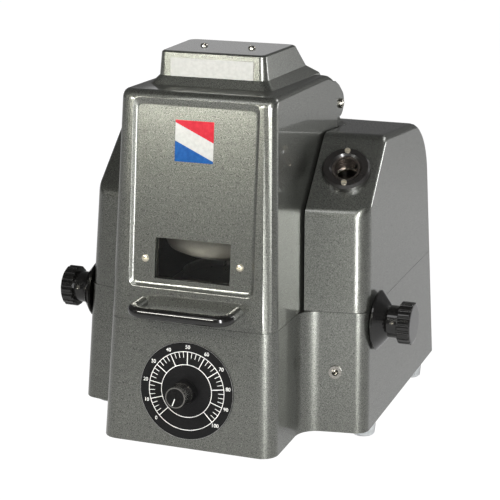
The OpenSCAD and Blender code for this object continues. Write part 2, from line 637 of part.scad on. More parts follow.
// Sector gear of the zero setting
module zero_gear() color([0.78, 0.66, 0.38]) place() mirror([1, 0, 0]) translate(torsion) difference() {
  union() {
    on_axis(gear_x0) linear_extrude(gear_w) intersection() {
      difference() {
        rotate(mesh_angle + 180) gear_plate(gear_teeth, gear_module, tooth_play);
        difference() {
          circle(r = gear_root - 8);
          circle(r = 18);
          rotate(mesh_angle + 180) for (a = [-28, 0, 28]) rotate(a) translate([0, -4])
              square([gear_root, 8]);
        }
      }
      union() {
        circle(r = 18);
        rotate(mesh_angle + 180) polygon([[0, -8], [gear_root * 1.2, -gear_root * 0.86],
            [gear_root * 1.2, gear_root * 0.86], [0, 8]]);
      }
    }
    rod(gear_x0 - 2, gear_x1 + 2, 10);
  }
  rod(gear_x0 - 5, gear_x1 + 5, axis_r + seat);
}
module axis_shaft() translate(torsion) difference() {
  union() {
    rod(axis_x0, axis_x1, axis_r);
    rod(bracket_x0 + bracket_t + 0.3, drum_x0 - 0.01, axis_r + 3);
  }
  rod(axis_x0 - 1, axis_x0 + 12, wire_d / 2 + 0.1);
  translate([axis_x0 + 1.5, 0, 0]) cylinder(r = 0.8, h = 10);
}
module drum_shaft() color([0.75, 0.75, 0.74]) place() axis_shaft();
module anchor_shaft() color([0.75, 0.75, 0.74]) place() mirror([1, 0, 0]) axis_shaft();
// Scale drum: rim, web with holes and hub
module scale_drum() color([0.9, 0.9, 0.86]) place() translate(torsion) difference() {
  rod(drum_x0, drum_x1, drum_r, $fn = 96);
  difference() {
    union() {
      rod(drum_x0 - 1, drum_x1 - 4, drum_r - 2.5);
      for (a = [0:45:315]) rotate([a, 0, 0]) translate([0, drum_r * 0.58, 0])
          rod(drum_x0 - 1, drum_x1 + 1, 8);
    }
    rod(drum_x0 - 2, drum_x1 + 2, 10);
  }
  rod(drum_x0 - 3, drum_x1 + 3, axis_r + seat);
}

// Bracket of bent sheet that carries a shaft of the torsion axis
bracket_w = 44;
module bracket() let (y0 = torsion[1] - bracket_w / 2, z0 = plate_t) difference() {
  union() {
    translate([bracket_x0, y0, z0]) cube([bracket_x1 - bracket_x0, bracket_w, bracket_t]);
    for (x = [bracket_x0, bracket_x1 - bracket_t]) translate([x, 0, 0]) rotate([90, 0, 90])
        linear_extrude(bracket_t) difference() {
      union() {
        polygon([[y0, z0], [y0 + bracket_w, z0], [torsion[1] + 13, torsion[2]],
            [torsion[1] - 13, torsion[2]]]);
        translate([torsion[1], torsion[2]]) circle(r = 13);
      }
      translate([torsion[1], z0 + 34]) circle(r = 10);
    }
    translate(torsion) rod(bracket_x0 - 2, bracket_x0 + 1, axis_r + 4);
  }
  translate(torsion) rod(bracket_x0 - 5, bracket_x1 + 5, axis_r + run);
  for (p = bracket_pts()) translate([p[0], p[1], 0]) cylinder(r = 1.7, h = 20);
}
function bracket_pts() = [for (x = [bracket_x0 + 10, bracket_x1 - 10], y = [-14, 14]) [x, torsion[1] + y]];
module drum_bracket() color([0.6, 0.6, 0.58]) place() bracket();
module zero_bracket() color([0.6, 0.6, 0.58]) place() mirror([1, 0, 0]) bracket();
module bracket_screws() color([0.75, 0.75, 0.72]) place() both() for (p = bracket_pts())
  translate([p[0], p[1], plate_t + bracket_t]) {
    cylinder(r = 3, h = 2);
    translate([0, 0, -bracket_t]) cylinder(r = 1.5 - seat, h = bracket_t + 0.5);
  }

// Fork that limits the beam
stop_y = torsion[1] + 56;
module beam_stop() color([0.6, 0.6, 0.58]) place() difference() {
  union() {
    translate([-14, stop_y - 1, plate_t]) cube([28, 2, torsion[2] + 14 - plate_t]);
    translate([-14, stop_y - 1, plate_t]) cube([28, 22, 2]);
  }
  translate([-2.6, stop_y - 3, torsion[2] - 4.6]) cube([5.2, 6, 9.2]);
  translate([-2.6, stop_y - 3, torsion[2]]) cube([5.2, 6, 40]);
}
module terminal_block() color([0.85, 0.83, 0.75]) place()
    translate([inlet_x, body_depth - 60, plate_t]) difference() {
  slab(70, 20, 0, 16);
  for (i = [-2:2]) translate([i * 13, 0, 6]) cylinder(r = 3, h = 20);
  for (s = [-1, 1]) translate([0, s * 10, 0]) slab(80, 8, 11, 20);
}
module mains_inlet() color([0.08, 0.08, 0.08]) place() inlet_frame() difference() {
  union() {
    hull() for (s = [-1, 1]) translate([s * 20, 0, 0]) cylinder(r = 5, h = 3);
    translate([-15, -11.5, 0]) cube([30, 23, 3]);
    translate([-13.8, -9.8, -20]) cube([27.6, 19.6, 21]);
  }
  translate([-11.8, -7.8, -16]) cube([23.6, 15.6, 30]);
  for (s = [-1, 1]) translate([s * 20, 0, -1]) cylinder(r = 1.6, h = 8);
}
module fuse_holder() color([0.08, 0.08, 0.08]) place() fuse_frame() {
  cylinder(r = 8.5, h = 3);
  cylinder(r = fuse_r, h = fuse_l);
  translate([0, 0, -30]) cylinder(r = 6.5, h = 30.5);
}

// Hinge screws through the ears of the hood into the tower
module hinge_screws() color([0.82, 0.82, 0.8]) place() translate([0, hinge_y, hinge_z]) both() {
  rod(tower_x - 12, ear_x1 + 0.5, hinge_r);
  translate([ear_x1 + 0.3, 0, 0]) rotate([0, 90, 0]) difference() {
    rotate_extrude() polygon([[0, 0], [5, 0], [5, 1.2], [4.4, 2.4], [3.2, 3.2], [1.6, 3.6], [0, 3.7]]);
    translate([-6, -0.5, 2.6]) cube([12, 1, 3]);
  }
}

// Side outline of the hood, drawn in by tf at the foot of the front, tu at its top and tt on top
function hood_side(tf, tu, tt, zb) = let (k = (tu - tf) / (hood_h - part_h) / cos(lean_angle),
    f0 = [tf / cos(lean_angle) - k * part_h, 0], fd = [front_lean + k, 1],
    t0 = [45, hood_h - tt], td = [1, -hood_slope], d0 = [226.5 - tt * 0.7, 320 - tt * 0.7], dd = [1, -1])
  outline([[f0 + fd * zb, 0, 0], [[250, zb], 0, 0], [meet([250, 0], [0, 1], d0, dd), 0, 0],
    [meet(t0, td, d0, dd), 66 - tt, 8], [meet(f0, fd, t0, td), 9.5 - min(tu, tt), 5]]);
hood_edge = 6;
hood_chamfer = column_r / 2;
function ease(s, r) = s >= r ? 0 : r - sqrt(r * r - (r - s) * (r - s));
function hood_ring(sgn, s, tt, zb) = let (w = column_x(part_h) - s)
  [for (p = hood_side(ease(s, column_r), ease(s, hood_r), tt + ease(s, hood_edge), zb))
    [sgn * (w - hood_draft * (p[1] - part_h)), p[0], p[1]]];
hood_steps = [for (f = [0.004, 0.04, 0.11, 0.24, 0.42, 0.68, 1]) f * column_r];
module hood_solid() skin(concat(
  [for (s = hood_steps) hood_ring(-1, s, 0, hood_z0)],
  [for (i = [len(hood_steps) - 1:-1:0]) hood_ring(1, hood_steps[i], 0, hood_z0)]));
function hood_inner(sgn, s, zb) = let (w = column_x(part_h) - wall - s)
  [for (p = hood_side(wall + hood_chamfer - s, wall + hood_chamfer - s, wall, zb))
      [sgn * (w - hood_draft * (p[1] - part_h)), p[0], p[1]]];
module hood_hollow() skin([hood_inner(-1, 0, part_h - 3), hood_inner(-1, hood_chamfer, part_h - 3),
  hood_inner(1, hood_chamfer, part_h - 3), hood_inner(1, 0, part_h - 3)]);

// Cap on the hood: rings from the hollow foot fillet to the rounded top
function cap_ring(z, g, r) = let (k = (z - hood_h) / cap_h, ya = cap_y0 - g - 1.5 * (1 - k),
    yb = cap_y1 + g + 34 * (1 - k), xa = cap_w / 2 + g + 2.5 * (1 - k))
  at_z(outline([[[xa, ya], r, 4], [[xa + 3 + 2 * (1 - k), yb], r, 4],
    [[-xa - 3 - 2 * (1 - k), yb], r, 4], [[-xa, ya], r, 4]]), z);
cap_foot = 9;
module cap_solid() translate([cap_x, 0, 0]) skin(concat(
  [cap_ring(hood_h - 10, cap_foot * 0.8, 9)],
  [for (a = [0:22.5:90]) cap_ring(hood_h - 1.5 + cap_foot * sin(a), cap_foot * 0.8 * (1 - cos(90 - a)), 8)],
  [for (a = [30:30:90]) cap_ring(cap_top - 3 + 3 * sin(a), -3 * (1 - cos(a)), 6)]), true);
module cap_hollow() translate([cap_x, 0, 0]) skin([cap_ring(hood_h - 14, -wall, 4),
    cap_ring(hood_h + 4, -wall, 4),
  cap_ring(cap_top - wall, -wall, 4)], true);

// Recess of the front panel with bevelled sides
module panel_recess() let (w = panel_w / 2, b = 6, o = -1) front_frame(panel_z0) {
  h = (panel_z1 - panel_z0) / cos(lean_angle);
  skin([at_z(outline([[[w, b], 6, 4], [[w, h - b], 6, 4], [[-w, h - b], 6, 4], [[-w, b], 6, 4]]),
      -panel_depth),
    at_z(outline([[[w + b, 0], 10, 4], [[w + b, h], 10, 4], [[-w - b, h], 10, 4],
        [[-w - b, 0], 10, 4]]), 0.02)]);
}
// Frame on the leaning front: local +Z out of the front, local +Y up along it
module front_frame(z) translate([0, front_y(z), z]) rotate([90 - lean_angle, 0, 0]) children();

module hood_ears() both() translate([ear_x0, 0, 0]) rotate([90, 0, 90]) difference() {
  linear_extrude(ear_t) hull() {
    translate([hinge_y, hinge_z]) circle(r = ear_r, $fn = 48);
    polygon([[hood_depth - 14, hinge_z - ear_r], [hood_depth - 2, hinge_z - ear_r],
        [hinge_y - 5, hinge_z + 20],
      [hood_depth - 2, hinge_z + 25.5], [hood_depth - 14, hinge_z + 25.5]]);
  }
  translate([hinge_y, hinge_z, -1]) cylinder(r = hinge_r + run, h = ear_t + 2);
}
window_n = window_h / cos(lean_angle);
module hood_shell() color([0.36, 0.37, 0.35]) place() union() {
  difference() {
    union() {
      hood_solid();
      cap_solid();
      // Thicker panel behind the recess, so that its floor keeps the wall
      front_frame(panel_z0 - 2) translate([-panel_w / 2 - 8, 0, -wall - panel_depth - 3])
          cube([panel_w + 16, panel_z1 - panel_z0, panel_depth + 4]);
    }
    difference() {
      hood_hollow();
      front_frame(panel_z0 - 2) translate([-panel_w / 2 - 8, 0, -wall - panel_depth])
          cube([panel_w + 16, panel_z1 - panel_z0 + 6, 20]);
    }
    cap_hollow();
    panel_recess();
    translate([-200, hood_depth, 0]) cube([400, 60, 400]);
    front_frame(window_z) translate([-window_w / 2, 0, -30]) cube([window_w, window_n, 40]);
    front_frame(screw_z) for (s = [-1, 1]) translate([s * screw_x, 0, -20]) cylinder(r = 1.75, h = 30);
    translate([0, 0, handle_z]) for (s = [-1, 1]) translate([s * handle_pitch / 2, 0, 0])
        rotate([-90, 0, 0]) cylinder(r = 2.2, h = 40);
    for (s = [-1, 1]) translate([cap_x + s * cap_screw_x, lamp_y, cap_top - 12]) cylinder(r = 2.2, h = 20);
  }
  hood_ears();
}
cap_screw_x = 24.6;

frame_t = 3;
glass_t = 3;
panel_back = -wall - panel_depth;
module window_glass() color([0.6, 0.7, 0.7, 0.35]) place() front_frame(window_z)
  translate([-window_w / 2 - 4, -4, panel_back - glass_t]) cube([window_w + 8, window_n + 8, glass_t]);
module window_frame() color([0.5, 0.5, 0.48]) place() front_frame(window_z) difference() {
  translate([-screw_x - 6, -7.5, panel_back - glass_t - frame_t])
      cube([screw_x * 2 + 12, window_n + 15, glass_t + frame_t]);
  translate([-window_w / 2 - 4.2, -4.2, panel_back - glass_t - 0.1])
      cube([window_w + 8.4, window_n + 8.4, glass_t + 1]);
  translate([-window_w / 2, 0, -40]) cube([window_w, window_n, 60]);
  for (s = [-1, 1]) translate([s * screw_x, (screw_z - window_z) / cos(lean_angle), -40])
      cylinder(r = 1.5, h = 60);
}
module window_screws() color([0.85, 0.8, 0.62]) place() front_frame(screw_z) for (s = [-1, 1])
    translate([s * screw_x, 0, -panel_depth]) {
  difference() {
    rotate_extrude() polygon([[0, 0], [3.6, 0], [3.6, 0.6], [2.8, 1.6], [1.4, 2.1], [0, 2.2]]);
    translate([-5, -0.4, 1.3]) cube([10, 0.8, 3]);
  }
  translate([0, 0, -wall - glass_t - frame_t]) cylinder(r = 1.5 - seat, h = wall + glass_t + frame_t + 0.5);
}

// Bow handle: straight bar, two bends and two legs
bend_r = 12;
module handle_leg() translate([handle_pitch / 2, 0, handle_z]) {
  difference() {
    translate([0, handle_bar_y + bend_r, 0]) rotate([-90, 0, 0]) cylinder(r = handle_d / 2, h = 60);
    translate([-20, front_y(0), -handle_z]) front_half();
    translate([0, front_y(handle_z) - 14, 0]) rotate([-90, 0, 0]) cylinder(r = 1.7, h = 40);
  }
  translate([-bend_r, handle_bar_y + bend_r, 0]) rotate([0, 0, -90]) rotate_extrude(angle = 90)
      translate([bend_r, 0]) circle(r = handle_d / 2);
}
// Everything behind the leaning front plane
module front_half() rotate([-lean_angle, 0, 0]) translate([-200, 0, -50]) cube([400, 100, 500]);
module bow_handle() color([0.06, 0.06, 0.06]) place() {
  both() handle_leg();
  translate([0, handle_bar_y, handle_z]) rod(-handle_pitch / 2 + bend_r, handle_pitch / 2 - bend_r,
      handle_d / 2);
}
module handle_screws() color([0.75, 0.75, 0.72]) place() for (s = [-1, 1])
    translate([s * handle_pitch / 2, 0, handle_z]) {
  translate([0, front_y(handle_z) - 10, 0]) rotate([-90, 0, 0]) cylinder(r = 1.7 - seat, h = 10 + wall + 2);
  translate([0, front_y(handle_z) + wall + 0.7, 0]) rotate([-90, 0, 0]) cylinder(r = 4, h = 2.4);
}

// Lamp, its screw base and holder, hung from the cap
lamp_l = 165;
base_h = 26;
neck_z = bulb_z + lamp_l - base_h;
holder_z0 = neck_z + 3;
holder_z1 = cap_top - wall;
module lamp_holder() color([0.9, 0.88, 0.82]) place() translate([cap_x, lamp_y, 0]) difference() {
  union() {
    translate([0, 0, holder_z0]) cylinder(r = 22, h = holder_z1 - holder_z0);
    slab(cap_screw_x * 2 + 12, 16, holder_z1 - 5, holder_z1);
  }
  translate([0, 0, holder_z0 - 1]) cylinder(r = 13.5, h = base_h + 2);
  for (s = [-1, 1]) translate([s * cap_screw_x, 0, holder_z1 - 10]) cylinder(r = 1.7, h = 20);
}
module cap_screws() color([0.82, 0.82, 0.8]) place() for (s = [-1, 1])
    translate([cap_x + s * cap_screw_x, lamp_y, cap_top]) {
  difference() {
    rotate_extrude() polygon([[0, 0], [3.6, 0], [3.6, 0.8], [3, 1.8], [1.6, 2.3], [0, 2.4]]);
    translate([-5, -0.4, 1.4]) cube([10, 0.8, 3]);
  }
  translate([0, 0, -wall - 5]) cylinder(r = 1.7 - seat, h = wall + 5.5);
}
module lamp_base() color([0.78, 0.66, 0.38]) place() translate([cap_x, lamp_y, neck_z]) {
  cylinder(r = 13.2, h = base_h - 4);
  translate([0, 0, base_h - 4.5]) cylinder(r1 = 12, r2 = 5, h = 4);
}
// Blown lamp: outline drawn in by t, for the outside and for the hollow
module bulb_body(t) let (r = bulb_d / 2, h = lamp_l - base_h)
  rotate_extrude($fn = 96) polygon(concat([for (a = [0:10:60])
      [(r * 0.86 - t) * sin(a) / sin(60), t + 10 * (1 - cos(a)) / 0.5]],
    [for (a = [-50:10:50]) [r - 9 + (9 - t) * cos(a), 20 + (10 - t) * sin(a)]],
    [[r * 0.94 - t, 36], [r * 0.83 - t, 56], [r * 0.62 - t, 84], [r * 0.42 - t, 106],
        [r * 0.3 - t, 124], [12.4 - t, h - t], [0, h - t]]));
module lamp_bulb() color([0.9, 0.88, 0.8, 0.6]) place() translate([cap_x, lamp_y, bulb_z]) difference() {
  bulb_body(0);
  bulb_body(1.5);
}

// Regulator shaft, knob, barrel and set screw, on the dial axis
module regulator_shaft() color([0.75, 0.75, 0.74]) place() dial_frame() translate([0, 0, -wall - 18])
    cylinder(r = reg_shaft_r, h = wall + 18 + reg_k0 + dial_knob_l - 6);
module regulator_knob() color([0.05, 0.05, 0.05]) place() dial_frame() difference() {
  union() {
    translate([0, 0, reg_k0]) cylinder(r1 = 11.5, r2 = 11, h = 8);
    translate([0, 0, reg_k0 + 7.5]) cylinder(r = 7.5, h = dial_knob_l - 9);
    translate([0, 0, reg_k0 + dial_knob_l - 2]) cylinder(r = 8.8, h = 2);
  }
  translate([0, 0, reg_k0 - 1]) cylinder(r = reg_shaft_r + seat, h = dial_knob_l - 4.5);
  translate([0, 0, reg_k0 + 4]) rotate([0, 90, 0]) cylinder(r = 1.5 + seat, h = 30);
  rotate([0, 0, 251]) translate([0, -0.5, reg_k0 + dial_knob_l - 0.5]) cube([9, 1, 2]);
}
module knob_barrel() color([0.7, 0.7, 0.7]) place() dial_frame() difference() {
  translate([0, 0, reg_k0 + 8]) cylinder(r1 = barrel_r + 0.8, r2 = barrel_r, h = dial_knob_l - 8);
  translate([0, 0, reg_k0]) cylinder(r = 7.5 + seat, h = 60);
  translate([0, 0, reg_k0 + dial_knob_l - 2 - seat]) cylinder(r = 8.8 + seat, h = 10);
  for (a = [0:12:348]) rotate([0, 0, a]) translate([11, 0, reg_k0 + 9.5])
      cylinder(r = 0.7, h = dial_knob_l - 13, $fn = 6);
}
module regulator_set_screw() color([0.6, 0.6, 0.6]) place() dial_frame()
    translate([reg_shaft_r + 0.05, 0, reg_k0 + 4]) rotate([0, 90, 0]) cylinder(r = 1.5, h = 7);

// Balance beam with hub, front arm, rear arm and threaded rod
arm_z = support_z - 9;
pan_axis_y = lamp_y;
module beam() color([0.72, 0.73, 0.72]) place() difference() {
  union() {
    translate([-3, 0, 0]) rotate([90, 0, 90]) linear_extrude(6) difference() {
      polygon([[torsion[1] - 6, torsion[2] - 7], [torsion[1] - 30, arm_z], [pan_axis_y, arm_z],
          [pan_axis_y, arm_z + 6], [pan_axis_y + 8, arm_z + 6],
        [torsion[1] - 33, arm_z + 7], [torsion[1] - 6, torsion[2] + 6], [torsion[1] + 8, torsion[2] + 4],
        [torsion[1] + 26, torsion[2] + 3], [torsion[1] + 26, torsion[2] - 3],
            [torsion[1] + 8, torsion[2] - 4]]);
      for (k = [0:3]) translate([pan_axis_y + 18 + k * 14, arm_z + 3]) circle(r = 1.8, $fn = 32);
    }
    translate(torsion) rod(-9, 9, 7);
    translate([0, pan_axis_y, arm_z]) cylinder(r = 5, h = 6);
    translate([0, torsion[1] + 25, torsion[2]]) rotate([-90, 0, 0]) cylinder(r = 2, h = 32 + weight_l);
  }
  translate(torsion) rod(-20, 20, wire_d / 2 + seat);
  translate([0, pan_axis_y, arm_z - 5]) cylinder(r = 2.5 + seat, h = 20);
}
module pan_support() color([0.75, 0.75, 0.74]) place() translate([0, pan_axis_y, 0]) difference() {
  union() {
    translate([0, 0, arm_z + 0.2]) cylinder(r = 2.5, h = support_z - arm_z);
    translate([0, 0, arm_z + 6]) cylinder(r = 4.5, h = 1.2);
    translate([0, 0, support_z]) cylinder(r = pan_d * 0.32, h = 1.2);
  }
  for (a = [0:60:300]) rotate([0, 0, a]) translate([pan_d * 0.19, 0, support_z - 1])
      cylinder(r = pan_d * 0.08, h = 4);
}
module counterweight() color([0.78, 0.66, 0.38]) place() translate([0, torsion[1] + 58, torsion[2]])
    rotate([-90, 0, 0]) difference() {
  cylinder(r = weight_r, h = weight_l - 4);
  translate([0, 0, -1]) cylinder(r = 2 + seat, h = weight_l + 10);
}
module torsion_wire() color([0.85, 0.85, 0.85]) place() translate(torsion)
    rod(-axis_x0 - 8, axis_x0 + 8, wire_d / 2);
module sample_pan() color([0.82, 0.83, 0.83]) place() translate([0, pan_axis_y, support_z + 1.2])
    rotate_extrude($fn = 96)
  polygon([[0, 0], [pan_d / 2 - 3, 0], [pan_d / 2 - 1, 1], [pan_d / 2 - 0.6, pan_h - 1],
      [pan_d / 2, pan_h - 0.6], [pan_d / 2, pan_h],
    [pan_d / 2 - 1.6, pan_h], [pan_d / 2 - 1.8, 1.6], [pan_d / 2 - 3.4, 0.8], [0, 0.8]]);

base_housing();
bottom_plate();
bottom_screws();
feet();
foot_screws();
rear_cover();
chamber_floor();
floor_screws();
dial_plate();
regulator();
regulator_nut();
check_socket();
eyepiece_ring();
eyepiece_screws();
eyepiece_tube();
eyepiece_lens();
shaft_bushes();
drum_bracket();
zero_bracket();
bracket_screws();
beam_stop();
terminal_block();
mains_inlet();
fuse_holder();
hinge_screws();
hood_shell();
window_glass();
window_frame();
window_screws();
bow_handle();
handle_screws();
lamp_holder();
cap_screws();
lamp_base();
lamp_bulb();
regulator_shaft();
regulator_knob();
knob_barrel();
regulator_set_screw();
scale_knob();
scale_shaft();
scale_pinion();
scale_set_screw();
scale_drum();
drum_gear();
drum_shaft();
zero_knob();
zero_shaft();
zero_pinion();
zero_set_screw();
zero_gear();
anchor_shaft();
beam();
pan_support();
counterweight();
torsion_wire();
sample_pan();
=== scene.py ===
# %% [markdown]
# # A moisture analyzer, dressed for the camera
# The real object is a grey enamelled bench instrument: a casting with a column in front and two wings
# behind, a hood that tilts up on a hinge and holds a heat lamp, and a torsion balance inside. It could be
# modelled anew here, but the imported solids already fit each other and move. So they stay, and only what they
# lack is added: paint, printed marks, small plates, and a studio round them.

# %% Load the model
import json
import math
import bpy
from mathutils import Matrix, Vector


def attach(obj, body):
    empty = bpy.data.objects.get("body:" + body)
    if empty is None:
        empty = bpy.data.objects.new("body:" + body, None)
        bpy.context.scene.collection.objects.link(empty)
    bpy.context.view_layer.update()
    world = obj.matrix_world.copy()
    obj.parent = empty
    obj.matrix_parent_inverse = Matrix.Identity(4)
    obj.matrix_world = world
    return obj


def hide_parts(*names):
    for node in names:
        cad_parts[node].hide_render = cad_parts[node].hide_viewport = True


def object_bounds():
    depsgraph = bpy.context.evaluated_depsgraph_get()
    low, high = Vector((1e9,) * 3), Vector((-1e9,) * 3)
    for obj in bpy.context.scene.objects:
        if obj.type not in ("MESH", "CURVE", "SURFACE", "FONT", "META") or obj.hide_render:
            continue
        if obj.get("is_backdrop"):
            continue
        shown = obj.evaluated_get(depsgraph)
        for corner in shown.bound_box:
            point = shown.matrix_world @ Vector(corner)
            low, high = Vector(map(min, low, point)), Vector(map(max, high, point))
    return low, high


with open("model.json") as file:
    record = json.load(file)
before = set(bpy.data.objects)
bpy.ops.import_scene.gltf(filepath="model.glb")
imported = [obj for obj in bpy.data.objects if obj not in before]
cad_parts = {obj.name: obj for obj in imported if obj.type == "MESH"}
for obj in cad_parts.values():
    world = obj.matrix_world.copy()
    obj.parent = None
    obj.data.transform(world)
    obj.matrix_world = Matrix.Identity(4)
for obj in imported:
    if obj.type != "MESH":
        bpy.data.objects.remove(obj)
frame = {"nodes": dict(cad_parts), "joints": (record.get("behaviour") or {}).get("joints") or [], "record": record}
cad_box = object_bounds()
print("loaded", len(frame["nodes"]), "pieces")

# %% [markdown]
# Drawings of the instrument count millimetres from the foot line of the casting. Blender counts metres from
# the bench under the middle of the object. The places could all be typed in metres, but then nobody could
# check them against the drawing, so one helper turns the first into the second. The front leans back by one
# in ten, and a second helper gives the matrix that lays something drawn flat onto it.

# %% Places in drawing millimetres
MIDDLE = 175.0656
FOOT = 13.0
LEAN = math.atan(0.10)


def at(x, y, z):
    return Vector((x, y - MIDDLE, z + FOOT)) / 1000


def leaning(x, y, z, lean=LEAN):
    return Matrix.Translation(at(x, y, z)) @ Matrix.Rotation(math.pi / 2 - lean, 4, "X")


print("front of the column at", at(0, 0, 0)[:])

# %% [markdown]
# The camera stands to the right of the front and looks a little down. It could be aimed with a constraint,
# but three vectors are plainer: one points back from the object to the camera, one to the right and one up,
# and together they are the columns of the camera's rotation. A long lens keeps the sides nearly parallel, as
# in a product picture.

# %% Camera
YAW, PITCH, ROLL = math.radians(20.08), math.radians(15.54), math.radians(0.21)
DISTANCE = 1.5864
target = at(25.2, 110, 170.7)
back = Vector((math.sin(YAW) * math.cos(PITCH), -math.cos(YAW) * math.cos(PITCH), math.sin(PITCH)))
right = Vector((math.cos(YAW), math.sin(YAW), 0))
above = back.cross(right)
bpy.ops.object.camera_add(location=target + back * DISTANCE)
camera = bpy.context.object
camera.data.lens = 116.05
camera.data.sensor_width = 36
facing = Matrix((right, above, back)).transposed() @ Matrix.Rotation(ROLL, 3, "Z")
camera.rotation_euler = facing.to_euler()
bpy.context.scene.camera = camera
bpy.context.scene.view_settings.view_transform = "Standard"
print("camera at", [round(v, 3) for v in camera.location])

# %% [markdown]
# Enamel shows what stands around it more than it shows its own colour. A picture of a room could be wrapped
# round the scene, but a plain fall of brightness is enough: the room is dim, and a little lighter towards
# the floor, so the tops and slopes stay dark. To the camera alone the room is plain white, which gives the
# white background without throwing more light on the object.

# %% Room
NEAR_FLOOR, OVERHEAD = 0.15, 0.1
DIM_FROM, DIM_TO = 0.0, 0.8
world = bpy.data.worlds.new("studio")
bpy.context.scene.world = world
world.use_nodes = True
room_nodes, room_links = world.node_tree.nodes, world.node_tree.links
room_nodes.clear()
coords = room_nodes.new("ShaderNodeTexCoord")
heights = room_nodes.new("ShaderNodeSeparateXYZ")
room_links.new(coords.outputs["Generated"], heights.inputs[0])
fall = room_nodes.new("ShaderNodeMapRange")
fall.inputs["From Min"].default_value = DIM_FROM
fall.inputs["From Max"].default_value = DIM_TO
fall.inputs["To Min"].default_value = NEAR_FLOOR
fall.inputs["To Max"].default_value = OVERHEAD
room_links.new(heights.outputs["Z"], fall.inputs["Value"])
room = room_nodes.new("ShaderNodeBackground")
room_links.new(fall.outputs[0], room.inputs["Strength"])
plain = room_nodes.new("ShaderNodeBackground")
plain.inputs["Color"].default_value = (1, 1, 1, 1)
ray = room_nodes.new("ShaderNodeLightPath")
pick = room_nodes.new("ShaderNodeMixShader")
room_links.new(ray.outputs["Is Camera Ray"], pick.inputs["Fac"])
room_links.new(room.outputs[0], pick.inputs[1])
room_links.new(plain.outputs[0], pick.inputs[2])
world_out = room_nodes.new("ShaderNodeOutputWorld")
room_links.new(pick.outputs[0], world_out.inputs["Surface"])
print("room strength", NEAR_FLOOR, "near the floor and", OVERHEAD, "overhead")

# %% [markdown]
# The floor is a sheet of white paper. A plain white surface would need a lot of light before it looked
# white, and all of that light would fall on the object too. So the paper glows for the camera and through
# glass, and a smaller share of the glow is seen in gloss, where it turns the upright sides pale. The rest
# is matt, which keeps the soft shadow under the feet.

# %% Floor
PAPER_GLOW = 1.13
GLOW_SEEN = 0.9
GLOW_IN_GLOSS = 0.31
bpy.ops.mesh.primitive_plane_add(size=12, location=(0, 0, 0))
floor = bpy.context.object
floor.name = "paper_floor"
paper = bpy.data.materials.new("white_paper")
paper.use_nodes = True
paper_nodes, paper_links = paper.node_tree.nodes, paper.node_tree.links
paper_nodes.clear()
matt = paper_nodes.new("ShaderNodeBsdfDiffuse")
matt.inputs["Color"].default_value = (0.48, 0.48, 0.48, 1)
glow = paper_nodes.new("ShaderNodeEmission")
glow.inputs["Strength"].default_value = PAPER_GLOW
seen = paper_nodes.new("ShaderNodeLightPath")


def sums(nodes, links, kind, a, b):
    node = nodes.new("ShaderNodeMath")
    node.operation = kind
    for socket, value in zip(node.inputs, (a, b)):
        if isinstance(value, (int, float)):
            socket.default_value = value
        else:
            links.new(value, socket)
    return node.outputs[0]


def paper_sums(kind, a, b):
    return sums(paper_nodes, paper_links, kind, a, b)


through = paper_sums("MAXIMUM", seen.outputs["Is Camera Ray"], seen.outputs["Is Transmission Ray"])
in_view = paper_sums("MULTIPLY", through, GLOW_SEEN)
in_gloss = paper_sums("MULTIPLY", seen.outputs["Is Glossy Ray"], GLOW_IN_GLOSS)
blend = paper_nodes.new("ShaderNodeMixShader")
paper_links.new(paper_sums("MAXIMUM", in_view, in_gloss), blend.inputs["Fac"])
paper_links.new(matt.outputs[0], blend.inputs[1])
paper_links.new(glow.outputs[0], blend.inputs[2])
paper_out = paper_nodes.new("ShaderNodeOutputMaterial")
paper_links.new(blend.outputs[0], paper_out.inputs["Surface"])
floor.data.materials.append(paper)
floor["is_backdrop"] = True
print("floor ready, glow", PAPER_GLOW)

# %% [markdown]
# One big light would make the glossy enamel look flat, so seven soft ones share the work. A tall narrow one
# at the right draws the long highlights down the rounded corners. A small one close to the hood, at the
# left, makes the upper front paler than the column. A weak one above the front, two behind, a card that the
# cap mirrors and one far to the left keep the other faces from going black. The camera doesn't see them.

# %% Lights


def soft_light(name, place, aim, wide, tall, power):
    bpy.ops.object.light_add(type="AREA", location=place)
    lamp = bpy.context.object
    lamp.name = name
    lamp.data.shape = "RECTANGLE"
    lamp.data.size = wide
    lamp.data.size_y = tall
    lamp.data.energy = power
    lamp.rotation_euler = (Vector(place) - Vector(aim)).to_track_quat("Z", "Y").to_euler()
    lamp.visible_camera = False
    return lamp


soft_light("strip_light", (0.7, -1.05, 0.5), (0, 0, 0.2), 0.2, 1.1, 19)
soft_light("back_light", (1.0, 1.1, 1.15), (0, 0, 0.25), 0.7, 0.5, 3.8)
soft_light("side_light", (0.98, 0.95, 0.3), (0.17, 0, 0.13), 0.3, 0.3, 2.2)
soft_light("card", (-0.42, 1.0, 0.565), (0, 0, 0.38), 0.3, 0.1, 0.045)
soft_light("front_light", (-0.15, -1.0, 1.35), (0, -0.1, 0.32), 0.8, 0.4, 2.6)
near = soft_light("near_light", (-0.2, -0.62, 0.45), (0, -0.12, 0.33), 0.3, 0.08, 2.6)
near.data.color = (1, 0.98, 0.9)
soft_light("left_light", (-1.2, -0.75, 0.55), (0, 0, 0.2), 0.4, 0.9, 0.35)

# %% [markdown]
# Every finish starts the same way: a fine noise on the object's own coordinates mixes two close colours, a
# broader noise moves the roughness a little, and the fine noise also lifts the surface. Photographs of real
# surfaces could be wrapped on instead, but noise needs no seams and stays sharp close up. Only the numbers
# differ from enamel to rubber, so one helper builds them all.

# %% Helper for finishes
BROADER = 18
BUMP_HEIGHT = 0.0004


def shader_of(mat):
    return mat.node_tree.nodes["Principled BSDF"]


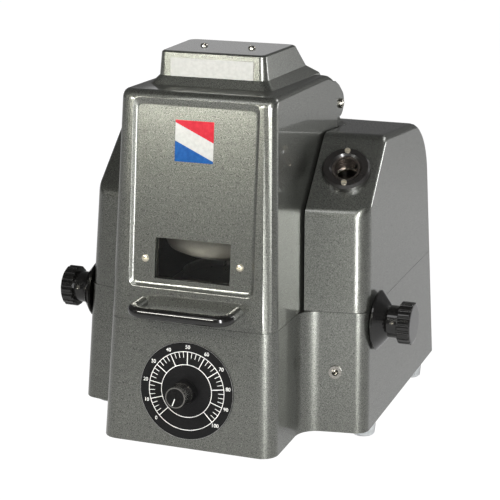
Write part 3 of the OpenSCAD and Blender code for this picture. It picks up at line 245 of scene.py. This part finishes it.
def surface(name, dark, light, grain, rough, metal=0.0, lift=0.02, spread=0.08, stretch=(1, 1, 1)):
    mat = bpy.data.materials.new(name)
    mat.use_nodes = True
    nodes, links = mat.node_tree.nodes, mat.node_tree.links
    shader = shader_of(mat)
    shader.inputs["Metallic"].default_value = metal
    place = nodes.new("ShaderNodeTexCoord")
    mapping = nodes.new("ShaderNodeMapping")
    mapping.inputs["Scale"].default_value = stretch
    links.new(place.outputs["Object"], mapping.inputs["Vector"])
    fine = nodes.new("ShaderNodeTexNoise")
    fine.inputs["Scale"].default_value = grain
    fine.inputs["Detail"].default_value = 3
    links.new(mapping.outputs[0], fine.inputs["Vector"])
    tint = nodes.new("ShaderNodeValToRGB")
    tint.name = "tint"
    tint.color_ramp.elements[0].position = 0.35
    tint.color_ramp.elements[0].color = (*dark, 1)
    tint.color_ramp.elements[1].position = 0.65
    tint.color_ramp.elements[1].color = (*light, 1)
    links.new(fine.outputs["Fac"], tint.inputs["Fac"])
    links.new(tint.outputs[0], shader.inputs["Base Color"])
    broad = nodes.new("ShaderNodeTexNoise")
    broad.inputs["Scale"].default_value = grain / BROADER
    links.new(mapping.outputs[0], broad.inputs["Vector"])
    wear = nodes.new("ShaderNodeMapRange")
    wear.inputs["To Min"].default_value = max(rough - spread, 0.02)
    wear.inputs["To Max"].default_value = rough + spread
    links.new(broad.outputs["Fac"], wear.inputs["Value"])
    links.new(wear.outputs[0], shader.inputs["Roughness"])
    if lift:
        bump = nodes.new("ShaderNodeBump")
        bump.inputs["Strength"].default_value = lift
        bump.inputs["Distance"].default_value = BUMP_HEIGHT
        links.new(fine.outputs["Fac"], bump.inputs["Height"])
        links.new(bump.outputs[0], shader.inputs["Normal"])
    return mat


# %% [markdown]
# Enamel and lacquer carry a second, smooth layer over their colour, and an anodised or worn black mirrors
# less than moulded plastic does. Each could be a shader of its own. Both are only a few numbers on the same
# one, so two small helpers set them.

# %% Helpers for coat and gloss


def coat(mat, weight, rough, ior=1.5):
    shader = shader_of(mat)
    shader.inputs["Coat Weight"].default_value = weight
    shader.inputs["Coat Roughness"].default_value = rough
    shader.inputs["Coat IOR"].default_value = ior
    return mat


def dulled(mat, level):
    shader_of(mat).inputs["Specular IOR Level"].default_value = level
    return mat


# %% [markdown]
# The body is sprayed with a dark grey enamel that carries metal flakes, under a clear coat. Each flake could
# be a tiny mirror of its own, but at this distance they only show as fine pepper and salt, so a fine noise
# does for them. A high metallic share lets the base brighten in the highlights as flakes do, and the clear
# coat mirrors the room where the eye looks along the surface.

# %% Enamel
FLAKE_DARK = (0.045, 0.0465, 0.0405)
FLAKE_LIGHT = (0.27, 0.278, 0.25)
enamel = surface("flake_enamel", FLAKE_DARK, FLAKE_LIGHT, 1750, 0.34, 0.88, 0.15, 0.02)
coat(enamel, 1.0, 0.03, 1.6)
FINISH = {"grey_paint": enamel}
print("enamel ready")

# %% [markdown]
# Four blacks stand side by side on the front. Moulded knobs and the handle shine, the dial plate is anodised
# and nearly dead, the eyepiece ring is lacquered, and the regulator knob has gone dull with handling. One
# black for all of them would be simpler, but their highlights are how the eye tells them apart.

# %% Blacks
moulded = surface("moulded_black", (0.003, 0.003, 0.003), (0.008, 0.0075, 0.007), 600, 0.25, 0, 0.03)
anodised = surface("black_anodised", (0.004, 0.004, 0.0042), (0.009, 0.009, 0.0095), 1500, 0.4, 0, 0.02)
lacquer = surface("black_lacquer", (0.006, 0.0055, 0.005), (0.014, 0.012, 0.011), 900, 0.3, 0, 0.03)
knob_black = surface("knob_black", (0.003, 0.003, 0.003), (0.009, 0.009, 0.009), 600, 0.4, 0, 0.02)
FINISH["black_gloss"] = dulled(coat(moulded, 1.0, 0.05), 0.15)
FINISH["black_plate"] = dulled(anodised, 0.2)
FINISH["eyepiece_black"] = coat(lacquer, 0.7, 0.12)
dulled(knob_black, 0.15)
print("blacks ready:", len(FINISH) - 1, "and one for the knob")

# %% [markdown]
# The fittings are turned brass, bright nickel, zinc-plated steel, sheet aluminium and dark bronze. Rolled
# and drawn metals keep fine lines from the mill: their noise is stretched along one axis, which costs
# nothing and shows at once that a part isn't cast. Three fittings have a finish of their own: the small
# brass screws are nearly white, and the barrel of the regulator knob and the socket have darkened with use.

# %% Metals and ceramic
ACROSS_Y, ACROSS_X = (1, 8, 1), (6, 1, 1)
METALS = {
    "nickel": ("bright_nickel", (0.46, 0.44, 0.39), (0.62, 0.59, 0.53), 900, 0.2, 1.0, 0.02, 0.05),
    "brass": ("turned_brass", (0.5, 0.37, 0.16), (0.64, 0.5, 0.25), 700, 0.26, 1.0, 0.03),
    "steel": ("zinc_plate", (0.36, 0.36, 0.35), (0.52, 0.52, 0.5), 500, 0.34, 1.0, 0.04, 0.08, ACROSS_Y),
    "aluminium": (
        "sheet_aluminium", (0.5, 0.51, 0.51), (0.66, 0.67, 0.67), 700, 0.3, 1.0, 0.03, 0.08, ACROSS_X,
    ),
    "eyepiece_bronze": ("dark_bronze", (0.1, 0.085, 0.075), (0.2, 0.175, 0.155), 700, 0.3, 0.9, 0.03),
}
for slot, recipe in METALS.items():
    FINISH[slot] = surface(*recipe)
glaze = surface("glazed_ceramic", (0.62, 0.6, 0.53), (0.72, 0.7, 0.63), 180, 0.3, 0, 0.04)
FINISH["ceramic"] = coat(glaze, 0.7, 0.05)
pale_brass = surface("pale_brass", (0.58, 0.53, 0.42), (0.74, 0.69, 0.57), 700, 0.3, 0.8, 0.03)
dark_chrome = surface("dark_chrome", (0.2, 0.195, 0.185), (0.27, 0.265, 0.25), 400, 0.2, 1.0, 0, 0.04)
worn_nickel = surface("worn_nickel", (0.32, 0.31, 0.28), (0.5, 0.48, 0.44), 900, 0.2, 1.0, 0.04)
OWN = {
    "window_screws": pale_brass,
    "eyepiece_screws": pale_brass,
    "regulator_knob": knob_black,
    "knob_barrel": dark_chrome,
    "check_socket": worn_nickel,
}
print(len(FINISH), "finishes so far and", len(OWN), "pieces with their own")

# %% [markdown]
# Glass and rubber let light through. The panes could be left out, since clear glass hardly shows, but the
# pale mirror on them is what makes a window look closed. A low index keeps them clear enough to see the lamp
# behind. The feet are a milky rubber, half solid and half clear.

# %% Glass and rubber
GLASS_TINT, GLASS_TINT_LIGHT = (0.88, 0.88, 0.84), (0.9152, 0.9152, 0.8736)
GLASS_INDEX = 1.2
window_glass = surface("window_glass", GLASS_TINT, GLASS_TINT_LIGHT, 60, 0.02, 0, 0, 0.01)
shader_of(window_glass).inputs["Transmission Weight"].default_value = 1.0
shader_of(window_glass).inputs["IOR"].default_value = GLASS_INDEX
FINISH["optical_glass"] = window_glass
milky = surface("milky_rubber", (0.72, 0.75, 0.76), (0.82, 0.84, 0.85), 300, 0.35, 0, 0.04)
shader_of(milky).inputs["Transmission Weight"].default_value = 0.45
FINISH["foot_white"] = milky
print("glass index", GLASS_INDEX)

# %% [markdown]
# The lamp is one blown bulb, silvered inside above its widest ring and frosted below. It could be cut in two
# pieces with a material each. Letting height decide is simpler and leaves no seam: a ramp over the object's
# Z turns the shader from frosted white glass to a mirror.

# %% Lamp
FROST_ENDS, SILVER_STARTS = 196, 198
lamp_glass = surface("reflector_lamp", (0.38, 0.365, 0.33), (0.48, 0.46, 0.42), 1400, 0.38, 0, 0.05)
lamp_nodes, lamp_links = lamp_glass.node_tree.nodes, lamp_glass.node_tree.links
height = lamp_nodes.new("ShaderNodeSeparateXYZ")
lamp_links.new(lamp_nodes["Texture Coordinate"].outputs["Object"], height.inputs[0])
silver = lamp_nodes.new("ShaderNodeMapRange")
silver.inputs["From Min"].default_value = at(0, 0, FROST_ENDS)[2]
silver.inputs["From Max"].default_value = at(0, 0, SILVER_STARTS)[2]
lamp_links.new(height.outputs["Z"], silver.inputs["Value"])
lamp_links.new(silver.outputs[0], shader_of(lamp_glass).inputs["Metallic"])
FINISH["frosted_glass"] = lamp_glass
print("lamp silvered from z =", round(at(0, 0, SILVER_STARTS)[2], 4))

# %% [markdown]
# The balance is read on a drum whose rim is white with a printed scale. Two hundred strokes could be
# modelled, but a print has no height. So the material draws them: the angle round the axis, cut into equal
# steps, gives the strokes, and every tenth stroke is longer. All of it is arithmetic on the object
# coordinates, and the axis is read from the joint that turns the drum.

# %% Drum scale
STEPS, TENS = 200, 20
THIN, THICK = 0.28, 0.04
DRUM_END = at(95.0, 0, 0)[0]
SHORT_STROKE, LONG_STROKE = 0.007, 0.013
INK_BLACK = (0.02, 0.02, 0.02, 1)
AXIS = next(Vector(j["pos_m"]) for j in frame["joints"] if j["name"] == "scale_drum_turn")
drum_paint = surface("drum_enamel", (0.74, 0.74, 0.69), (0.82, 0.82, 0.77), 500, 0.35, 0, 0.03)
coat(drum_paint, 0.4, 0.1)
drum_nodes, drum_links = drum_paint.node_tree.nodes, drum_paint.node_tree.links


def drum_sums(kind, a, b=0):
    return sums(drum_nodes, drum_links, kind, a, b)


def strokes_of(count, share, turn, x, length):
    step = drum_sums("FRACT", drum_sums("MULTIPLY", turn, count / math.tau))
    inked = drum_sums("LESS_THAN", step, share)
    near_end = drum_sums("LESS_THAN", x, DRUM_END + length)
    return drum_sums("MULTIPLY", inked, near_end)


split = drum_nodes.new("ShaderNodeSeparateXYZ")
drum_links.new(drum_nodes["Texture Coordinate"].outputs["Object"], split.inputs[0])
rise = drum_sums("SUBTRACT", split.outputs["Z"], AXIS[2])
run = drum_sums("SUBTRACT", split.outputs["Y"], AXIS[1])
turn = drum_sums("ARCTAN2", rise, run)
minor = strokes_of(STEPS, THIN, turn, split.outputs["X"], SHORT_STROKE)
major = strokes_of(TENS, THICK, turn, split.outputs["X"], LONG_STROKE)
print_mix = drum_nodes.new("ShaderNodeMix")
print_mix.data_type = "RGBA"
drum_links.new(drum_sums("MAXIMUM", minor, major), print_mix.inputs["Factor"])
drum_links.new(drum_nodes["tint"].outputs[0], print_mix.inputs["A"])
print_mix.inputs["B"].default_value = INK_BLACK
drum_links.new(print_mix.outputs["Result"], shader_of(drum_paint).inputs["Base Color"])
FINISH["drum_white"] = drum_paint
print(STEPS, "steps round the drum at y, z =", round(AXIS[1], 4), round(AXIS[2], 4))

# %% [markdown]
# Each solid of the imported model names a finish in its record. They could be painted one by one, but a loop
# that reads those names can't miss a piece. Each gets the finish made above, unless it has one of its own,
# and nothing else about it changes.

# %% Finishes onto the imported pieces
for entry in frame["record"]["subparts"]:
    node = frame["nodes"][entry["node"]]
    node.data.materials.clear()
    node.data.materials.append(OWN.get(entry["node"], FINISH[entry["material_slot"]]))

# %% [markdown]
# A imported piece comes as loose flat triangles, and it isn't changed. Where one needs more shape, a copy takes
# its place. The copy is welded, because a bevel can't follow an edge between triangles that don't share it,
# and its flat faces are joined again, so that only real edges are left. Points are then picked by where
# they lie.

# %% Helpers for copies
WELD = 0.000004
FLAT = math.radians(0.3)


def alone(obj):
    bpy.ops.object.select_all(action="DESELECT")
    obj.select_set(True)
    bpy.context.view_layer.objects.active = obj


def welded_copy(node, name):
    source = frame["nodes"][node]
    piece = source.copy()
    piece.data = source.data.copy()
    piece.parent = None
    piece.matrix_world = Matrix.Identity(4)
    piece.name = name
    bpy.context.scene.collection.objects.link(piece)
    alone(piece)
    if piece.data.has_custom_normals:
        bpy.ops.mesh.customdata_custom_splitnormals_clear()
    bpy.ops.object.mode_set(mode="EDIT")
    bpy.ops.mesh.select_all(action="SELECT")
    bpy.ops.mesh.remove_doubles(threshold=WELD)
    bpy.ops.mesh.dissolve_limited(angle_limit=FLAT)
    bpy.ops.object.mode_set(mode="OBJECT")
    return piece


def select_vertices(mesh, wanted):
    bpy.ops.object.mode_set(mode="EDIT")
    bpy.ops.mesh.select_mode(type="VERT")
    bpy.ops.mesh.select_all(action="DESELECT")
    bpy.ops.object.mode_set(mode="OBJECT")
    for v in mesh.vertices:
        v.select = wanted(v.co)
    count = sum(v.select for v in mesh.vertices)
    bpy.ops.object.mode_set(mode="EDIT")
    return count


# %% [markdown]
# Enamel on a casting has no hard creases. Subdivision would melt the whole shape, so a small bevel breaks
# only the sharp edges, and weighted normals keep the flats flat while the corners turn smoothly. The angle
# limits matter: the walls of the panel recess meet its floor at 28 degrees, and a wider limit would smooth
# them away.

# %% Helper for the castings
BEVEL_FROM = math.radians(23)
SMOOTH_BELOW = math.radians(22)


def casting(node, body, break_edge, shaping=None):
    piece = welded_copy(node, node + "_enamel")
    if shaping:
        shaping(piece.data)
    bpy.ops.object.modifier_add(type="BEVEL")
    edge = piece.modifiers[-1]
    edge.width = break_edge
    edge.segments = 2
    edge.limit_method = "ANGLE"
    edge.angle_limit = BEVEL_FROM
    bpy.ops.object.modifier_apply(modifier=edge.name)
    bpy.ops.object.shade_smooth_by_angle(angle=SMOOTH_BELOW)
    bpy.ops.object.modifier_add(type="WEIGHTED_NORMAL")
    piece.modifiers[-1].keep_sharp = True
    bpy.ops.object.modifier_apply(modifier=piece.modifiers[-1].name)
    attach(piece, body)
    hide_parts(node)
    print(piece.name, len(piece.data.polygons), "faces")


# %% [markdown]
# The front panel lies in a shallow recess, and paint makes its walls read as steep as they are high. The
# recess could be cut anew with a boolean, but its corners are already there. So the outer edge of the walls
# is drawn in by scaling it about the inner edge, once for each side and once for the bottom.

# %% Recess walls
RECESS_HALF, WALLS_HALF = 0.0595, 0.0655
RECESS_FOOT, RECESS_HEAD = 149.5, 331.5
RECESS_TALL = (RECESS_HEAD - RECESS_FOOT) / 1000 / math.cos(LEAN)
WALL_RUN = 0.006
DRAWN_IN = 3.6 / 6


def draw_in_walls(mesh, flat):
    for side in (1, -1):

        def in_wall(co):
            p = flat @ co
            return 0.0001 < side * p.x - RECESS_HALF < WALL_RUN + 0.0002 and -0.0033 < p.z < 0.0003

        print("side wall points:", select_vertices(mesh, in_wall))
        bpy.ops.transform.resize(value=(DRAWN_IN, 1, 1), center_override=(side * RECESS_HALF, 0, 0))
        bpy.ops.object.mode_set(mode="OBJECT")

    def in_foot(co):
        p = flat @ co
        return abs(p.x) < WALLS_HALF and abs(p.z) < 0.0003 and -0.0005 < p.y < WALL_RUN - 0.0001

    print("bottom points:", select_vertices(mesh, in_foot))
    foot_line = flat.inverted() @ Vector((0, WALL_RUN, 0))
    bpy.ops.transform.resize(value=(1, DRAWN_IN, DRAWN_IN), center_override=foot_line)
    bpy.ops.object.mode_set(mode="OBJECT")


print("recess", round(RECESS_TALL * 1000, 1), "mm tall along the slope")

# %% [markdown]
# Paint also rounds the lip of the recess and the edge of its floor, and each of them draws a highlight of
# its own. They could be left to the bevel of the whole casting, but that one is too narrow to show. So these
# edges get a wider bevel first, all but the last few millimetres under the cap.

# %% Recess edges
FLOOR_DEPTH = 0.0032
FLOOR_EDGE = 0.0062
ROUNDING = 0.0017
TOP_LEFT_OUT = 0.004


def round_over(mesh, wanted):
    count = select_vertices(mesh, wanted)
    bpy.ops.mesh.select_mode(type="EDGE")
    bpy.ops.mesh.bevel(offset=ROUNDING, segments=3, affect="EDGES", clamp_overlap=True)
    bpy.ops.mesh.select_mode(type="VERT")
    bpy.ops.object.mode_set(mode="OBJECT")
    return count


def steeper_recess(mesh):
    flat = leaning(0, 0.1 * RECESS_FOOT, RECESS_FOOT).inverted()
    draw_in_walls(mesh, flat)
    top = RECESS_TALL - TOP_LEFT_OUT

    def on_lip(co):
        p = flat @ co
        return abs(p.x) < WALLS_HALF and -0.0005 < p.y < top and abs(p.z) < 0.0001

    def on_floor_edge(co):
        p = flat @ co
        outside = abs(p.x) > RECESS_HALF - FLOOR_EDGE or p.y < WALL_RUN + FLOOR_EDGE
        return outside and abs(p.x) < WALLS_HALF and 0 < p.y < top and abs(p.z + FLOOR_DEPTH) < 0.0001

    print("lip points:", round_over(mesh, on_lip))
    print("floor edge points:", round_over(mesh, on_floor_edge))


# %% [markdown]
# The hood is handled every day and its edges are the softest. The two castings below it only lose their
# burrs. One width could serve for all three, but then either the hood would look sharp or the seam between
# the lower two would look like a groove.

# %% Castings
HOOD_EDGE, BODY_EDGE = 0.0013, 0.0006
casting("hood_shell", "hood", HOOD_EDGE, steeper_recess)
casting("base_housing", "base", BODY_EDGE)
casting("rear_cover", "base", BODY_EDGE)

# %% [markdown]
# The sheet that floors the chamber lies in a square pocket, and the casting round it has rounded corners, so
# the pocket comes through them. Real sheet metal would be nipped off there with snips. A bevel on the two
# upright edges in front does the same.

# %% Chamber sheet
SHEET_SIDE, SHEET_FRONT = 0.0798, -0.1605
NIPPED_OFF = 0.0052
sheet = welded_copy("chamber_floor", "chamber_sheet")
corners = select_vertices(sheet.data, lambda co: abs(co.x) > SHEET_SIDE and co.y < SHEET_FRONT)
bpy.ops.mesh.select_mode(type="EDGE")
bpy.ops.mesh.bevel(offset=NIPPED_OFF, segments=2, affect="EDGES")
bpy.ops.object.mode_set(mode="OBJECT")
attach(sheet, "base")
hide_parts("chamber_floor")
print("sheet corner points before the bevel:", corners)

# %% [markdown]
# A small enamelled lug closes the casting where the pocket comes through. A block would stand out as a flat
# spot, so each lug is a thin slice of a cylinder as wide as the corner. Its upper end is moved back with the
# draft of the casting, and bisect cuts it off along a chord.

# %% Corner lugs
LUG_X, LUG_Y, LUG_Z = 0.0684, -0.1475, 0.13008
LUG_RADIUS, LUG_TALL, LUG_CHORD = 0.01617, 0.00455, 0.0156
LUG_LEAN_X, LUG_LEAN_Y = 0.00017, 0.00042
LUG_AT = math.radians(51)
for side in (1, -1):
    bpy.ops.mesh.primitive_cylinder_add(vertices=96, radius=LUG_RADIUS, depth=LUG_TALL)
    lug = bpy.context.object
    lug.name = "corner_lug_right" if side > 0 else "corner_lug_left"
    select_vertices(lug.data, lambda co: co.z > 0)
    bpy.ops.transform.translate(value=(-side * LUG_LEAN_X, LUG_LEAN_Y, 0))
    bpy.ops.mesh.select_all(action="SELECT")
    outward = (side * math.cos(LUG_AT), -math.sin(LUG_AT), 0)
    chord = [LUG_CHORD * c for c in outward]
    bpy.ops.mesh.bisect(plane_co=chord, plane_no=outward, clear_inner=True, use_fill=True)
    bpy.ops.mesh.select_all(action="SELECT")
    bpy.ops.mesh.normals_make_consistent(inside=False)
    bpy.ops.transform.translate(value=(side * LUG_X, LUG_Y, LUG_Z))
    bpy.ops.object.mode_set(mode="OBJECT")
    bpy.ops.object.shade_smooth_by_angle(angle=math.radians(30))
    lug.data.materials.append(enamel)
    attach(lug, "base")
    print(lug.name, len(lug.data.vertices), "points")

# %% [markdown]
# The regulator dial is an anodised plate with a printed scale from 0 to 100 over three quarters of a turn.
# It could be drawn on the leaning front directly.

# %% Dial plane
DIAL = leaning(0, 5.65, 56.5)
DIAL_TOP = 0.0012
DIAL_START, DIAL_SWEEP = 225, 270
ink_white = surface("dial_ink", (0.76, 0.76, 0.74), (0.86, 0.86, 0.84), 900, 0.5, 0, 0.02)
rim_silver = surface("bare_rim", (0.5, 0.5, 0.49), (0.64, 0.64, 0.62), 900, 0.28, 1.0, 0.02)


def set_down(obj, matrix, body, mat, name):
    obj.name = name
    obj.matrix_world = matrix @ obj.matrix_world
    alone(obj)
    bpy.ops.object.transform_apply(location=True, rotation=True, scale=True)
    obj.data.materials.clear()
    obj.data.materials.append(mat)
    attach(obj, body)
    print(name, "placed on", body)


def dial_angle(share):
    return math.radians(DIAL_START - DIAL_SWEEP * share)


print("dial from", DIAL_START, "degrees, sweep", DIAL_SWEEP)

# %% [markdown]
# Two printed rings carry the scale, and a bare metal rim runs round the plate. A torus would be round in
# section, and print is flat. So a circle is extruded, the new edge is drawn in to the inner radius, and a
# second extrusion gives the film its thickness.

# %% Rings on the dial
PRINT_THICK, RIM_THICK = 0.00012, 0.0002
OUTER_RING, INNER_RING = (0.03855, 0.03795), (0.02595, 0.02535)
PLATE_RIM = (0.0474, 0.0471)


def ring(outer, inner, low, high):
    bpy.ops.mesh.primitive_circle_add(vertices=128, radius=outer, location=(0, 0, low))
    obj = bpy.context.object
    bpy.ops.object.mode_set(mode="EDIT")
    bpy.ops.mesh.select_all(action="SELECT")
    bpy.ops.mesh.extrude_region_move()
    bpy.ops.transform.resize(value=(inner / outer, inner / outer, 1))
    bpy.ops.mesh.select_all(action="SELECT")
    bpy.ops.mesh.extrude_region_move(TRANSFORM_OT_translate={"value": (0, 0, high - low)})
    bpy.ops.mesh.select_all(action="SELECT")
    bpy.ops.mesh.normals_make_consistent(inside=False)
    bpy.ops.object.mode_set(mode="OBJECT")
    return obj


for label, radii in (("scale_ring_outer", OUTER_RING), ("scale_ring_inner", INNER_RING)):
    printed = ring(*radii, DIAL_TOP, DIAL_TOP + PRINT_THICK)
    set_down(printed, DIAL, "base", ink_white, label)
rim = ring(*PLATE_RIM, DIAL_TOP, DIAL_TOP + RIM_THICK)
set_down(rim, DIAL, "base", rim_silver, "dial_rim")

# %% [markdown]
# Between the rings stand the strokes. Tens run from ring to ring, and the quarter steps between them run
# half way in from the outer ring. They could be an array round an empty, but a plain loop shows how each
# angle is found. One stroke is a plane, widened and raised, and all of them are joined into one print.

# %% Strokes
QUARTERS = 40
STROKE_END = 0.0382
TEN_FROM, TEN_WIDTH = 0.0257, 0.0007
QUARTER_FROM, QUARTER_WIDTH = 0.0325, 0.0005


def stroke(inner, outer, width, angle):
    bpy.ops.mesh.primitive_plane_add(size=1, location=(0, 0, DIAL_TOP))
    obj = bpy.context.object
    bpy.ops.object.mode_set(mode="EDIT")
    bpy.ops.mesh.select_all(action="SELECT")
    bpy.ops.transform.resize(value=(outer - inner, width, 1))
    bpy.ops.transform.translate(value=((outer + inner) / 2, 0, 0))
    bpy.ops.mesh.extrude_region_move(TRANSFORM_OT_translate={"value": (0, 0, PRINT_THICK)})
    bpy.ops.object.mode_set(mode="OBJECT")
    obj.matrix_world = Matrix.Rotation(angle, 4, "Z") @ obj.matrix_world
    return obj


def joined(parts):
    alone(parts[0])
    for p in parts:
        p.select_set(True)
    bpy.ops.object.join()
    return bpy.context.object


strokes = []
for k in range(QUARTERS + 1):
    angle = dial_angle(k / QUARTERS)
    if k % 4 == 0:
        strokes.append(stroke(TEN_FROM, STROKE_END, TEN_WIDTH, angle))
    else:
        strokes.append(stroke(QUARTER_FROM, STROKE_END, QUARTER_WIDTH, angle))
print("strokes:", len(strokes))
set_down(joined(strokes), DIAL, "base", ink_white, "scale_strokes")

# %% [markdown]
# The figures are plain numbers from 0 to 100. Drawing digits by hand would be slow, so text is typed, turned
# into a mesh, and left upright outside the outer ring, so that the dial reads without turning the head.

# %% Figures
FIGURE_CIRCLE = 0.0427
FIGURE_SIZE, FIGURE_BOLD, FIGURE_THICK = 0.005, 0.00003, 0.00008
figures = []
for k in range(11):
    angle = dial_angle(k / 10)
    spot = (FIGURE_CIRCLE * math.cos(angle), FIGURE_CIRCLE * math.sin(angle), DIAL_TOP)
    bpy.ops.object.text_add(location=spot)
    word = bpy.context.object
    word.data.body = str(10 * k)
    word.data.size = FIGURE_SIZE
    word.data.offset = FIGURE_BOLD
    word.data.extrude = FIGURE_THICK
    word.data.align_x = "CENTER"
    word.data.align_y = "CENTER"
    alone(word)
    bpy.ops.object.convert(target="MESH")
    figures.append(bpy.context.object)
print("figures:", len(figures))
set_down(joined(figures), DIAL, "base", ink_white, "scale_figures")

# %% [markdown]
# The slot across the end of the regulator knob is filled with white paint, so that the setting can be read,
# and a narrow pale ring runs round the same end. That ring is a painted highlight: it stands for the light
# that the metal rim of the knob catches. Both could be cut into the knob, but paint has hardly any depth, and
# a highlight has none. So they are a stroke and a ring, made with the helpers of the dial and lifted to the
# end of the knob. They ride on the knob and turn with it.

# %% Pointer and painted rim highlight
KNOB_END = 0.02885
# Radii and heights of the pale ring that paints the highlight on the rim of the knob.
RIM_HIGHLIGHT_RADII, RIM_LOW, RIM_HIGH = (0.0099, 0.0092), 0.0289, 0.029
POINTER_FROM, POINTER_END, POINTER_WIDTH = 0.0012, 0.0086, 0.0011
POINTER_AT = math.radians(251)
pointer = stroke(POINTER_FROM, POINTER_END, POINTER_WIDTH, POINTER_AT)
pointer.matrix_world = Matrix.Translation((0, 0, KNOB_END - DIAL_TOP)) @ pointer.matrix_world
set_down(pointer, DIAL, "regulator_dial", ink_white, "pointer_paint")
# A matt, nearly white ring: a painted highlight standing for the shine on the metal rim of the knob.
rim_highlight_paint = surface("painted_rim_highlight", (0.78, 0.78, 0.75), (0.9, 0.9, 0.87), 900, 0.3, 0, 0.02)
knob_rim_highlight = ring(*RIM_HIGHLIGHT_RADII, RIM_LOW, RIM_HIGH)
set_down(knob_rim_highlight, DIAL, "regulator_dial", rim_highlight_paint, "knob_rim_highlight")

# %% [markdown]
# Two plates are stuck on the hood, a long one on the cap and a square one on the panel. Each could be a bare
# plane, but a plate has a thickness that catches the light. So it starts as a cube that is flattened, has
# its upright edges rounded, and its top inset by a fine rim.

# %% Helper for plates
PLATE_THICK, INSET, INSET_RISE = 0.0004, 0.0005, 0.0001


def plate(width, height, thick, radius):
    bpy.ops.mesh.primitive_cube_add(size=1, location=(0, 0, 0))
    obj = bpy.context.object
    bpy.ops.object.mode_set(mode="EDIT")
    bpy.ops.mesh.select_all(action="SELECT")
    bpy.ops.transform.resize(value=(width, height, thick))
    bpy.ops.transform.translate(value=(0, 0, thick / 2))
    bpy.ops.object.mode_set(mode="OBJECT")
    bpy.ops.object.modifier_add(type="BEVEL")
    corner = obj.modifiers[-1]
    corner.width = radius
    corner.segments = 4
    corner.affect = "EDGES"
    corner.limit_method = "WEIGHT"
    weights = obj.data.attributes.new("bevel_weight_edge", "FLOAT", "EDGE")
    for e in obj.data.edges:
        a, b = (obj.data.vertices[v].co for v in e.vertices)
        weights.data[e.index].value = 1.0 if abs(a.z - b.z) > thick / 2 else 0.0
    bpy.ops.object.modifier_apply(modifier=corner.name)
    bpy.ops.object.mode_set(mode="EDIT")
    bpy.ops.mesh.select_all(action="DESELECT")
    bpy.ops.object.mode_set(mode="OBJECT")
    for p in obj.data.polygons:
        p.select = p.normal.z > 0.9
    bpy.ops.object.mode_set(mode="EDIT")
    bpy.ops.mesh.inset(thickness=INSET, depth=INSET_RISE)
    bpy.ops.object.mode_set(mode="OBJECT")
    return obj


# %% [markdown]
# The plates are painted in a duller enamel than the castings. With full gloss they would mirror the nearest
# light and lose their colour, so the coat is thin and the mirror share low. The long plate is plain white,
# and it lies on the front of the cap, which leans less than the panel.

# %% Plate paints and cap plate
CAP_LEAN = math.atan(1.5 / 31)


def plate_paint(name, dark, light):
    return dulled(coat(surface(name, dark, light, 300, 0.45, 0, 0.02), 0.12, 0.08), 0.15)


plate_white = plate_paint("plate_enamel", (0.38, 0.38, 0.365), (0.43, 0.43, 0.413))
plate_red = plate_paint("plate_red", (0.36, 0.01, 0.022), (0.44, 0.016, 0.03))
plate_blue = plate_paint("plate_blue", (0.003, 0.052, 0.19), (0.006, 0.068, 0.235))
cap_plate = plate(0.0836, 0.0176, PLATE_THICK, 0.0006)
cap_front = leaning(-2.3, 78.28, 353.25, CAP_LEAN)
set_down(cap_plate, cap_front, "hood", plate_white, "cap_plate")

# %% [markdown]
# The square plate has a white field and two coloured corners opposite each other. An image could colour
# them, but then the edges would blur close up. Bisect cuts clean lines into the mesh, and the faces beyond
# each line take a colour of their own.

# %% Square plate
SLANT, FIELD_HALF = 0.45, 0.0085
badge = plate(0.0384, 0.0388, PLATE_THICK, 0.0004)
bpy.ops.object.mode_set(mode="EDIT")
for side in (1, -1):
    bpy.ops.mesh.select_all(action="SELECT")
    bpy.ops.mesh.bisect(plane_co=(0, side * FIELD_HALF, 0), plane_no=(SLANT, 1, 0))
bpy.ops.object.mode_set(mode="OBJECT")
badge.data.materials.clear()
corner_of = {}
for p in badge.data.polygons:
    across = SLANT * p.center.x + p.center.y
    corner_of[p.index] = 1 if across > FIELD_HALF else 2 if across < -FIELD_HALF else 0
panel_floor = leaning(-1.7, 29.245, 292.45) @ Matrix.Translation((0, 0, -FLOOR_DEPTH))
set_down(badge, panel_floor, "hood", plate_white, "panel_plate")
badge.data.materials.append(plate_red)
badge.data.materials.append(plate_blue)
for p in badge.data.polygons:
    p.material_index = corner_of[p.index]
print("coloured faces:", sum(1 for c in corner_of.values() if c))

# %% [markdown]
# Last, the box of the dressed model is set beside the box of the imported one, and their difference is printed.
# The sizes could be judged by eye, but the difference of the two boxes shows at once whether anything grew.

# %% Sizes and the end
both = {"cad": [list(v) for v in cad_box], "visual": [list(v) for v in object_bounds()]}
cad_corners = both["cad"][0] + both["cad"][1]
visual_corners = both["visual"][0] + both["visual"][1]
print("grown by, in mm:", [round((b - a) * 1000, 2) for a, b in zip(cad_corners, visual_corners)])
